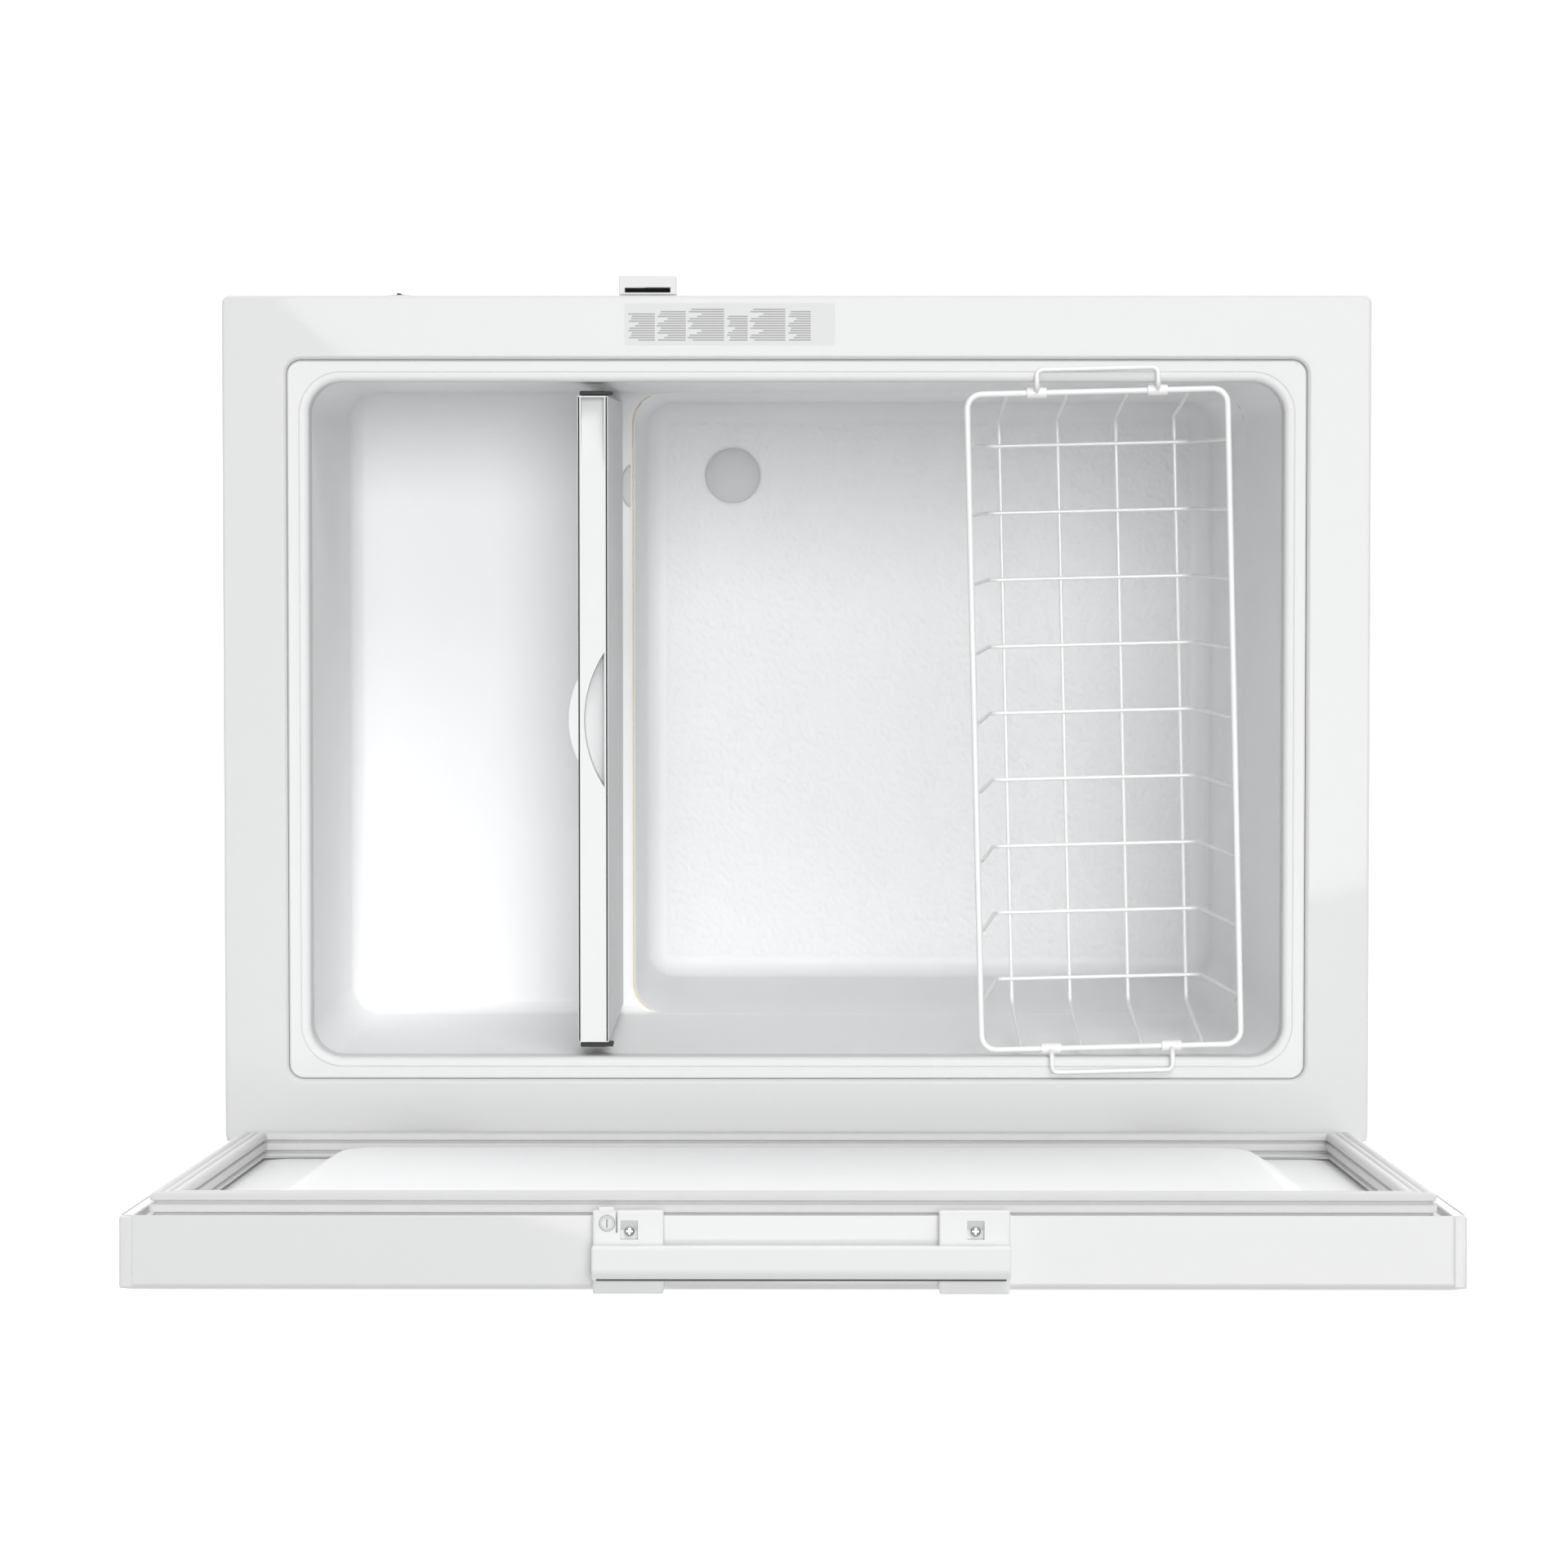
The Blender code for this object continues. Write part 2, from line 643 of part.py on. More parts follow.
def make_controls():
    """A dial with its thermostat behind the front panel, and a pilot lamp."""
    x, z = CONTROL.x, CONTROL.z
    face = FRONT_Y - GAP
    dial_x, lamp_x = x + 0.028, x - 0.035
    panel = block(
        "control_panel", (x - 0.065, face - 0.006, z - 0.032), (x + 0.065, face, z + 0.032), GREY, 0.0015
    )
    for name, at, half in (("dial_hole", dial_x, 0.0045), ("lamp_hole", lamp_x, 0.0055)):
        cut_all(panel, [block(name, (at - half, face - 0.02, z - half), (at + half, face + 0.01, z + half))])
    knob = [
        (0, 0.024), (0.013, 0.024), (0.015, 0.022), (0.018, 0.006 + 2 * GAP),
        (0.004, 0.006 + 2 * GAP), (0.004, -0.010), (0, -0.010),
    ]
    dial = joint("dial_axis", (dial_x, face, z))
    hang([turned("thermostat_knob", knob, (dial_x, face, z), DARK, "-Y")], dial)
    block(
        "thermostat_body",
        (dial_x - 0.018, face + 0.0105, z - 0.016),
        (dial_x + 0.018, face + 0.046, z + 0.016),
        GREY,
        0.001,
    )
    lens = [(0, 0.009), (0.003, 0.0085), (0.005, 0.006 + 2 * GAP), (0.005, -0.004), (0, -0.004)]
    turned("pilot_lens", lens, (lamp_x, face, z), LENS, "-Y", 16)


def make_drain():
    """The tank's drain: plug, pipe under the tank, spout at the front and its cap."""
    depth = 0.060
    path = [
        (DRAIN.x, DRAIN.y, DRAIN.z - SHEET - GAP),
        (DRAIN.x, DRAIN.y, depth + 0.020),
        (DRAIN.x, DRAIN.y - 0.006, depth + 0.006),
        (DRAIN.x, DRAIN.y - 0.020, depth),
        (DRAIN.x, FRONT_Y - GAP, depth),
    ]
    pipe = tube("drain_pipe", path, 0.009, PLASTIC)
    ends = [(DRAIN.x, DRAIN.y, DRAIN.z + 0.02)] + path[1:-1] + [(DRAIN.x, FRONT_Y - 0.03, depth)]
    boolean(pipe, tube("drain_way", ends, 0.007))

    plug = joint("drain_plug_axis", DRAIN)
    head = [
        (0, 0.007),
        (0.018, 0.0065),
        (0.0256, 0.003),
        (0.0256, GAP),
        (0.006, GAP),
        (0.0055, -0.016),
        (0, -0.016),
    ]
    hang([turned("drain_plug", head, DRAIN, GREY)], plug)

    at = (DRAIN.x, FRONT_Y - GAP, depth)
    spout = [(0.0085, 0.012), (0.0105, 0.012), (0.0105, 0.004), (0.018, 0.003), (0.018, GAP), (0.0085, GAP)]
    turned("drain_spout", spout, at, PLASTIC, "-Y")
    cap_axis = joint("drain_cap_axis", at)
    cap = [(0, 0.0165), (0.0135, 0.0165), (0.014, 0.016), (0.014, 0.0045), (0.0108, 0.0045), (0.0108, 0.0125)]
    cap += [(0, 0.0125)]
    hang([turned("drain_cap", cap, at, PLASTIC, "-Y")], cap_axis)


def make_keeper():
    """The lock's keeper on the cabinet front: a block with a slot open upwards."""
    x0, x1 = KEEPER_X - 0.0235, KEEPER_X + 0.0235
    top = DECK_Z - 0.004
    keeper = block("lock_keeper", (x0, FRONT_Y - 0.016, top - 0.036), (x1, FRONT_Y - GAP, top), GREY, 0.0015)
    slot = block(
        "keeper_slot", (x0 + 0.005, FRONT_Y - 0.0066, top - 0.026), (x1 - 0.005, FRONT_Y - 0.0018, top + 0.01)
    )
    boolean(keeper, slot)


# Lid, drawn closed and turned open by its axis

def make_lid(axis):
    low = DECK_Z + LID_LIFT
    high = low + LID_THICK
    seat = DECK_Z + GASKET_TALL
    over = -LID_OVERHANG
    rim = SHEET + GAP
    skin = loft(
        "lid_skin",
        [
            (centred_box(over, 0.010), low),
            (centred_box(over, 0.010), high - 0.004),
            (centred_box(over + 0.004, 0.010), high),
        ],
        STEEL,
        open_start=True,
    )
    thicken(skin, SHEET, -1)
    plateau = seat - PLATEAU_TALL
    top = PLATEAU_INSET + PLATEAU_SLOPE
    liner = loft(
        "lid_liner",
        [
            (centred_box(over + rim, 0.010), seat),
            (centred_box(PLATEAU_INSET, 0.040), seat),
            (centred_box(top, 0.030), plateau),
        ],
        PLASTIC,
        open_start=True,
    )
    thicken(liner, SHEET, 1)
    fill = SHEET + GAP
    foam = loft(
        "lid_foam",
        [
            (centred_box(over + rim + 0.004, 0.010), high - SHEET - GAP),
            (centred_box(over + rim, 0.010), high - SHEET - 0.006),
            (centred_box(over + rim, 0.010), seat + fill),
            (centred_box(PLATEAU_INSET + 0.001, 0.040), seat + fill),
            (centred_box(top + 0.001, 0.030), plateau + fill),
        ],
        FOAM,
    )
    outer = centred_box(GASKET_INSET, 0.014)
    inner = centred_box(GASKET_INSET + GASKET_WIDE, 0.014)
    gasket = prism("lid_gasket", [outer, inner], DECK_Z + GAP, seat - SHEET - GAP, GASKET)
    hang([skin, liner, foam, gasket], axis)


def make_handle(axis):
    """A bar across two screwed ends on the lid's front edge, with the lock in the end at +X."""
    face = FRONT_Y - LID_OVERHANG - GAP
    low = DECK_Z + LID_LIFT
    bar_low, bar_high = low + 0.019, low + 0.043
    reach = 0.032
    starts = {"right": HANDLE_X - HANDLE_END, "left": HANDLE_X - HANDLE_LONG}
    for side, x0 in starts.items():
        x1 = x0 + HANDLE_END
        foot = block(
            f"handle_end_{side}", (x0, face - FOOT_THICK, low - 0.004), (
                x1, face, low + 0.0535
            ), PLASTIC, 0.003
        )
        post = block(
            f"handle_post_{side}",
            (x0 + 0.002, face - reach + BAR_THICK, bar_low + 0.002),
            (x1 - 0.002, face - 0.006, bar_high - 0.002),
        )
        boolean(foot, post, "UNION")
        mid = (x0 + x1) / 2
        well = block(
            f"screw_well_{side}",
            (mid - 0.0055, face - 0.02, low + 0.004),
            (mid + 0.0055, face - 0.005, low + 0.015),
        )
        boolean(foot, well)
        screw = [(0, 0.005), (0.0025, 0.0045), (0.0042, 0.003), (0.0042, 0.001), (0, 0.001)]
        head = turned(
            f"handle_screw_{side}", screw, (mid, face - 0.0040 - GAP, low + 0.0095), BRIGHT, "-Y", 16
        )
        hang([foot, post, well, head], axis)
        if side == "right":
            tools = lock_rooms(face, low)
            cut_all(foot, tools)
            hang(tools, axis)
    bar = block(
        "handle_bar",
        (HANDLE_X - HANDLE_LONG, face - reach, bar_low),
        (HANDLE_X, face - reach + BAR_THICK - GAP, bar_high),
        PLASTIC,
        0.004,
    )
    hang([bar], axis)


def lock_rooms(face, low):
    """The hole for the lock's stem in the right handle end, and the pocket behind it for the cam."""
    hole = rod("lock_hole", 0.0045, 0.05, (LOCK_X, face, low + LOCK_UP), "-Y")
    pocket = block(
        "cam_pocket",
        (LOCK_X - CAM_LONG - 0.001, face - 0.0036, low - 0.02),
        (LOCK_X + 0.0055, face + 0.01, low + LOCK_UP + 0.005),
    )
    return [hole, pocket]


def make_lock(axis):
    """A barrel in the right handle end. Its cam lies level, and a quarter turn drops it into the keeper."""
    face = FRONT_Y - LID_OVERHANG - GAP
    at = Vector((LOCK_X, face - FOOT_THICK - GAP, DECK_Z + LID_LIFT + LOCK_UP))
    lock = joint("lock_axis", at, axis)
    profile = [
        (0, 0.001), (0.005, 0.001), (0.0055, 0.0005), (0.0055, 0), (0.004, 0), (0.004, -0.0105), (0, -0.0105)
    ]
    barrel = turned("lock_barrel", profile, at, BRIGHT, "-Y", 20)
    slit = block(
        "key_slit", (at.x - 0.0008, at.y - 0.02, at.z - 0.004), (at.x + 0.0008, at.y + 0.003, at.z + 0.004)
    )
    cam = block(
        "lock_cam",
        (at.x - CAM_LONG, face - 0.0032, at.z - 0.0035),
        (at.x + 0.0035, face - 0.0012, at.z + 0.0035),
    )
    boolean(barrel, slit)
    boolean(barrel, cam, "UNION")
    hang([barrel, slit, cam], lock)


def make_hinges(axis):
    """Two hinges: leaf and outer knuckles on the cabinet, leaf and middle knuckle on the lid, and a pin."""
    back = REAR_Y + GAP
    third = HINGE_WIDE / 3
    lid_back = REAR_Y + LID_OVERHANG + GAP
    for side, x in (("left", -HINGE_X), ("right", HINGE_X)):
        at = Vector((x, HINGE.y, HINGE.z))
        leaf = block(
            f"hinge_leaf_{side}",
            (x - 0.030, back, DECK_Z - 0.100),
            (x + 0.030, back + 0.002, DECK_Z - 0.004),
            BRIGHT,
        )
        for n, shift in enumerate((-third, third), 1):
            ear = block(
                f"hinge_ear_{side}_{n}",
                (x + shift - third / 2 + GAP, back + 0.0013, DECK_Z - 0.020),
                (x + shift + third / 2 - GAP, at.y + 0.002, at.z),
            )
            centre = at + Vector((shift, 0, 0))
            knuckle = rod(f"hinge_knuckle_{side}_{n}", KNUCKLE_R, third / 2 - GAP, centre)
            boolean(leaf, ear, "UNION")
            boolean(leaf, knuckle, "UNION")
        bore = rod(f"hinge_bore_{side}", PIN_R + GAP, 0.05, at)
        boolean(leaf, bore)
        pin = [(0, 0.033), (0.0045, 0.033), (0.0045, 0.0305), (PIN_R, 0.0305), (PIN_R, -0.032), (0, -0.032)]
        turned(f"hinge_pin_{side}", pin, at, BRIGHT, "X", 16)

        x0, x1 = x - third / 2 + GAP, x + third / 2 - GAP
        low = HINGE.z - 0.001
        strap = block(
            f"lid_leaf_{side}", (x0, lid_back, low), (x1, lid_back + 0.0025, DECK_Z + 0.050), BRIGHT
        )
        arm = block(f"lid_arm_{side}", (x0, lid_back + 0.001, low), (x1, at.y, low + KNUCKLE_R))
        eye = rod(f"lid_eye_{side}", KNUCKLE_R, third / 2 - GAP, at)
        hole = rod(f"lid_bore_{side}", PIN_R + GAP, 0.05, at)
        boolean(strap, arm, "UNION")
        boolean(strap, eye, "UNION")
        boolean(strap, hole)
        hang([strap, arm, eye, hole], axis)


# Basket and divider

def make_basket():
    """A tapered basket of welded wires under a heavier rim, with a handle hinged on each short side."""
    x0, x1 = BASKET_X
    y0, y1 = CENTRE_Y - BASKET_Y, CENTRE_Y + BASKET_Y
    z = DECK_Z - RIM_DROP
    low = z - BASKET_TALL
    lift = joint("basket_axis", ((x0 + x1) / 2, CENTRE_Y, z), rest=(0, 0, BASKET_SKEW))
    outline = rounded_box(x0, y0, x1, y1, 0.012)
    basket = tube("basket", [(x, y, z) for x, y in outline], RIM_R, WIRE, cyclic=True)
    wires = []
    kink = 0.006

    def bent(a, b, fixed, along_y, floor):
        """A wire down one side, across the floor and up the other, with its bends eased."""
        inner_a, inner_b = a + BASKET_TAPER, b - BASKET_TAPER
        run = [(a, z), (inner_a, floor + kink), (inner_a + kink, floor)]
        run += [(inner_b - kink, floor), (inner_b, floor + kink), (b, z)]
        return [(fixed, s, h) if along_y else (s, fixed, h) for s, h in run]

    for i in range(LONG_WIRES):
        share = (i - (LONG_WIRES - 1) / 2) / LONG_WIRES
        x = (x0 + x1) / 2 + share * (x1 - x0 - 0.014)
        wires.append(tube(f"long_wire_{i}", bent(y0, y1, x, True, low), WIRE_R))
    for i in range(CROSS_WIRES):
        y = CENTRE_Y + (i - (CROSS_WIRES - 1) / 2) * (2 * BASKET_Y - 0.082) / (CROSS_WIRES - 1)
        wires.append(tube(f"cross_wire_{i}", bent(x0, x1, y, False, low + 0.0022), WIRE_R))
    for wire in wires:
        boolean(basket, wire, "UNION")
    hang([basket] + wires, lift)

    for end, sign, y in (("front", -1, y0), ("rear", 1, y1)):
        make_grip(end, sign, (x0 + x1) / 2, y, z, lift)


def make_grip(end, sign, x, y, z, lift):
    """A wire loop with two sleeves round the rim. It lies out over the ledge, just clear of it."""
    axis = joint(f"grip_{end}_axis", (x, y, z), lift)
    rest = DECK_Z - LEDGE_DROP + GRIP_R + GRIP_RISE
    reach = 0.0185
    path = [
        (x - GRIP_HALF, y + sign * 0.0025, z + 0.0020),
        (x - GRIP_HALF, y + sign * 0.0042, rest),
        (x - GRIP_HALF, y + sign * (reach - 0.005), rest),
        (x - GRIP_HALF + 0.005, y + sign * reach, rest),
        (x + GRIP_HALF - 0.005, y + sign * reach, rest),
        (x + GRIP_HALF, y + sign * (reach - 0.005), rest),
        (x + GRIP_HALF, y + sign * 0.0042, rest),
        (x + GRIP_HALF, y + sign * 0.0025, z + 0.0020),
    ]
    grip = tube(f"basket_handle_{end}", path, GRIP_R, WIRE)
    tools = []
    for n, shift in enumerate((-GRIP_HALF, GRIP_HALF), 1):
        sleeve = rod(f"grip_sleeve_{end}_{n}", 0.0046, 0.008, (x + shift, y, z))
        boolean(grip, sleeve, "UNION")
        tools.append(sleeve)
    bore = rod(f"grip_bore_{end}", RIM_R + GAP, 0.07, (x, y, z))
    boolean(grip, bore)
    hang([grip, bore] + tools, axis)


def make_divider():
    """A panel on the step's edge, with a bowed finger grip in its top."""
    x0, x1 = DIVIDER_X
    top = DECK_Z - DIVIDER_TOP
    y0, y1 = CENTRE_Y - DIVIDER_LONG / 2, CENTRE_Y + DIVIDER_LONG / 2
    lift = joint("divider_axis", ((x0 + x1) / 2, CENTRE_Y, STEP_Z))
    panel = block("divider", (x0, y0 + CLIP_LONG, STEP_Z + GAP), (x1, y1 - CLIP_LONG, top), PLASTIC, 0.002)
    base = x0 + 0.0026
    bow = prism("grip_bow", [bow_outline(base, 0.0615, 0.0305)], top - 0.024, top)
    hole = prism("grip_hole", [bow_outline(base, 0.0565, 0.0170)], top - 0.020, top + 0.02)
    boolean(panel, bow, "UNION")
    boolean(panel, hole)
    hang([panel, bow, hole], lift)
    for end, low, high in (("front", y0, y0 + CLIP_LONG - GAP), ("rear", y1 - CLIP_LONG + GAP, y1)):
        clip = block(
            f"divider_clip_{end}",
            (x0 + 0.002, low, top - 0.060),
            (x1 - 0.002, high, top - 0.002),
            RUBBER,
            0.001,
        )
        hang([clip], lift)


def bow_outline(x, half, rise):
    """A flat-backed segment of a circle that bows towards +X."""
    radius = (half**2 + rise**2) / (2 * rise)
    spread = math.degrees(math.asin(half / radius))
    return arc((x + rise - radius, CENTRE_Y), radius, -spread, spread, 12)


clear_scene()
PARTS = new_collection("chest_freezer", True)
CUTTERS = new_collection("cutters", False)
DRAIN_HOLE = block(
    "drain_hole", (DRAIN.x - 0.010, FRONT_Y - 0.02, 0.050), (DRAIN.x + 0.010, DRAIN.y + 0.010, 0.070)
)
DRAIN_BORE = block(
    "drain_bore", (DRAIN.x - 0.010, DRAIN.y - 0.010, 0.050), (DRAIN.x + 0.010, DRAIN.y + 0.010, WELL_Z + 0.02)
)

make_shell()
make_bay_covers()
make_base()
make_top()
make_tank()
make_foam()
make_coils()
make_compressor()
make_controls()
make_drain()
make_keeper()
LID = joint("lid_axis", HINGE, rest=(-LID_OPEN, 0, 0))
make_lid(LID)
make_handle(LID)
make_lock(LID)
make_hinges(LID)
make_basket()
make_divider()
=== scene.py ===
import json
import math

import bmesh
import bpy
from mathutils import Matrix, Vector, noise


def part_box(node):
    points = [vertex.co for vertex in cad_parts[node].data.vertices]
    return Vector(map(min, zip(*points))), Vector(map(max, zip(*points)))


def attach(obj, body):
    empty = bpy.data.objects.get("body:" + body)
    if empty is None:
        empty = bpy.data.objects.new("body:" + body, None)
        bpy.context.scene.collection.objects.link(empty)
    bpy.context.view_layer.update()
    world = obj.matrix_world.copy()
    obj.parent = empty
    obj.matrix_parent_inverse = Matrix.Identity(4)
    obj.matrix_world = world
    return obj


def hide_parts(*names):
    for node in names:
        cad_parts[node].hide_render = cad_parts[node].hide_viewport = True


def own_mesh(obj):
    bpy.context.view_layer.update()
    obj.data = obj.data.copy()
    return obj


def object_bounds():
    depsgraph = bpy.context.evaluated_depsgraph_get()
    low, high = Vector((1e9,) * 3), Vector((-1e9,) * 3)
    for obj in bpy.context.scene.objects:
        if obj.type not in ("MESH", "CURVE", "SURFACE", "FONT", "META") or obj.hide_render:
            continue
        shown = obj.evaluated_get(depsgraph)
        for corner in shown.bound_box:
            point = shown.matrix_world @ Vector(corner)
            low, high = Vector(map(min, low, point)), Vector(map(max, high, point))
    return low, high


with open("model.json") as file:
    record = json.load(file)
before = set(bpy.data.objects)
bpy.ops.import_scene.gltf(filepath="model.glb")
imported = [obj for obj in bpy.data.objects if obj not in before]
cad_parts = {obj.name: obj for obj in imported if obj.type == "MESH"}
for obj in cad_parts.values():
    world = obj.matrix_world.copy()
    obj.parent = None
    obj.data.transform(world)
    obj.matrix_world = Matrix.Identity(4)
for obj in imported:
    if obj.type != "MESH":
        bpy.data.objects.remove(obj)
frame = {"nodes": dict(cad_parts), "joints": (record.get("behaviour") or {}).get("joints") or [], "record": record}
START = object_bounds()

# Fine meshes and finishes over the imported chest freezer. Metres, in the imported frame.
# An inset is a distance in from the cabinet's outline, all round.

DECK_LOW, DECK_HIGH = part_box("top_flange")
X0, Y0 = DECK_LOW.x, DECK_LOW.y
X1, Y1 = DECK_HIGH.x, DECK_HIGH.y
TOP = DECK_HIGH.z
MID_Y = (Y0 + Y1) / 2
# The gap between neighbouring CAD pieces, and the thickness of the sheet metal and the tank's wall
GAP = 0.0003
SHEET = 0.0012
# The mouth's frame: the inset it starts at, the inset it ends at, and its heights
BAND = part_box("breaker_frame")[0].x - X0 - GAP
LEDGE = 0.070
LEDGE_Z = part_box("breaker_frame")[1].z
FRAME_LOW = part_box("breaker_frame")[0].z
MOUTH_R = 0.026
# The tank: its two floors, the riser between them, its walls' slope and its drain
WELL_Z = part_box("inner_liner")[0].z + SHEET
WELL_FILLET = 0.016
STEP_Z = TOP - 0.370
RISER_X = 0.142
DRAFT = 0.010 / (TOP - WELL_Z)
DRAIN = sum(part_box("drain_plug"), Vector()) / 2
# The lid's liner sits this high while the lid is closed
SEAT = TOP + 0.012
# The lock's axis, then the length and radius of one barrel of a hinge
LOCK_X = 0.128
HINGE_THIRD = 0.020
KNUCKLE = 0.0055
# The basket's turn in the tank, in degrees, and its wires' radii
BASKET_SKEW = 1.4
RIM_WIRE = 0.0025
MESH_WIRE = 0.0016
# How deep a knob's ribs are, as a share of its radius
RIPPLE = 0.035
# How much broader a finish's slow change is than its grain
BROADER = 40
ROUND_NODES = ("compressor_shell", "condenser_coil", "suction_tube", "discharge_tube", "filter_drier")
# The turn, in degrees, that lays Z along each axis
AXES = {"Z": (0, "X"), "-Y": (90, "X"), "Y": (-90, "X"), "X": (90, "Y")}

JOINTS = {joint["name"]: joint for joint in frame["joints"]}
HINGE = Vector(JOINTS["lid_hinge"]["pos_m"])
SWING = -math.radians(JOINTS["lid_hinge"]["range_deg"][0])
# Takes the closed lid to where it stands open
OPEN = (
    Matrix.Translation(HINGE)
    @ Matrix.Rotation(SWING, 4, Vector(JOINTS["lid_hinge"]["axis"]))
    @ Matrix.Translation(-HINGE)
)


# Meshes

def tidy(bm, dist=1e-6):
    bmesh.ops.remove_doubles(bm, verts=bm.verts, dist=dist)
    bmesh.ops.dissolve_degenerate(bm, dist=dist, edges=bm.edges)
    bmesh.ops.recalc_face_normals(bm, faces=bm.faces)
    return bm


def loft(loops, ring=False, caps=True):
    """A skin through closed rows of points. A ring joins the last row to the first."""
    bm = bmesh.new()
    rows = [[bm.verts.new(point) for point in loop] for loop in loops]
    pairs = list(zip(rows, rows[1:]))
    if ring:
        pairs.append((rows[-1], rows[0]))
    for low, high in pairs:
        for i in range(len(low)):
            j = (i + 1) % len(low)
            bm.faces.new((low[i], low[j], high[j], high[i]))
    if caps and not ring:
        bm.faces.new(rows[0])
        bm.faces.new(rows[-1])
    return tidy(bm)


def merged(*shapes):
    """One mesh of several, which are used up."""
    whole = bmesh.new()
    for shape in shapes:
        spare = bpy.data.meshes.new("spare")
        shape.to_mesh(spare)
        shape.free()
        whole.from_mesh(spare)
        bpy.data.meshes.remove(spare)
    return whole


def moved(shape, matrix):
    shape.transform(matrix)
    return shape


def rect(x0, y0, x1, y1, radius, steps=8):
    """A rounded outline, counter-clockwise."""
    points = []
    corners = [(x1, y1, 0), (x0, y1, 90), (x0, y0, 180), (x1, y0, 270)]
    for x, y, start in corners:
        cx = x - radius if x == x1 else x + radius
        cy = y - radius if y == y1 else y + radius
        for i in range(steps + 1):
            turn = math.radians(start + 90 * i / steps)
            points.append((cx + radius * math.cos(turn), cy + radius * math.sin(turn)))
    return points


def centre_of(name):
    return sum(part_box(name), Vector()) / 2


def plan(inset, radius, steps=8):
    """The cabinet's outline, drawn in by inset."""
    return rect(X0 + inset, Y0 + inset, X1 - inset, Y1 - inset, radius, steps)


def at_height(outline, z):
    return [(x, y, z) for x, y in outline]


def bend(centre, radius, start, end, steps=5):
    """Points (inset, height) on an arc, in degrees."""
    turns = [math.radians(start + (end - start) * i / steps) for i in range(steps + 1)]
    return [(centre[0] + radius * math.cos(t), centre[1] + radius * math.sin(t)) for t in turns]


def box(low, high, edge=0.0, steps=3):
    """A block with rounded edges."""
    low, high = Vector(low), Vector(high)
    bm = bmesh.new()
    size = Matrix.Diagonal((*(high - low), 1))
    bmesh.ops.create_cube(bm, size=1, matrix=Matrix.Translation((low + high) / 2) @ size)
    if edge:
        bmesh.ops.bevel(
            bm, geom=bm.edges[:], offset=edge, segments=steps, profile=0.5, affect="EDGES", clamp_overlap=True
        )
    return tidy(bm)


def stood(shape, at, axis):
    """A shape drawn along Z, turned to lie along an axis and moved to a place."""
    angle, about = AXES[axis]
    return moved(shape, Matrix.Translation(at) @ Matrix.Rotation(math.radians(angle), 4, about))


def lathe(profile, at=(0, 0, 0), axis="Z", steps=48, ribs=0, rib=0.0):
    """A profile of (radius, height) turned round an axis. Ribs ripple the points outside rib's radius."""
    rows = []
    for radius, height in profile:
        row = []
        for i in range(steps):
            turn = 2 * math.pi * i / steps
            reach = radius
            if ribs and radius > rib:
                reach = radius * (1 - RIPPLE * (0.5 + 0.5 * math.cos(ribs * turn)))
            row.append((reach * math.cos(turn), reach * math.sin(turn), height))
        rows.append(row)
    closed = profile[0][0] < 1e-6 and profile[-1][0] < 1e-6
    return stood(loft(rows, ring=not closed, caps=False), at, axis)


def drill(radius, high, low, at, axis="-Y", steps=32):
    """A plain cylinder between two heights on its axis, used to cut."""
    return lathe([(0, high), (radius, high), (radius, low), (0, low)], at, axis, steps)


def eased(path, radius, steps=5):
    """The path with each inner corner turned into an arc-like curve of about that radius."""
    points = [Vector(p) for p in path]
    out = [points[0]]
    for before, point, after in zip(points, points[1:], points[2:]):
        cut = min(radius, (before - point).length * 0.48, (after - point).length * 0.48)
        a = point + (before - point).normalized() * cut
        b = point + (after - point).normalized() * cut
        for k in range(steps + 1):
            t = k / steps
            out.append(a * (1 - t) ** 2 + point * 2 * t * (1 - t) + b * t * t)
    return [*out, points[-1]]


def wire(path, radius, sides=12, closed=False):
    """A round wire along a path. Its ends close in a dome, unless the path is closed."""
    points = [Vector(p) for p in path]
    count = len(points)
    rows = []
    side = None
    for i, point in enumerate(points):
        ahead = points[(i + 1) % count] if closed or i < count - 1 else point
        behind = points[i - 1] if closed or i > 0 else point
        along = (ahead - behind).normalized()
        if side is None:
            side = along.orthogonal().normalized()
            if abs(along.z) < 0.9:
                side = along.cross(Vector((0, 0, 1))).normalized()
        side = (side - along * side.dot(along)).normalized()
        up = along.cross(side)
        turns = [2 * math.pi * k / sides for k in range(sides)]
        ring = [point + (side * math.cos(t) + up * math.sin(t)) * radius for t in turns]
        if not closed and i in (0, count - 1):
            out = -along if i == 0 else along
            cap = [point + (p - point) * 0.6 + out * radius * 0.6 for p in ring]
            rows += [cap, ring] if i == 0 else [ring, cap]
        else:
            rows.append(ring)
    return loft(rows, ring=closed)


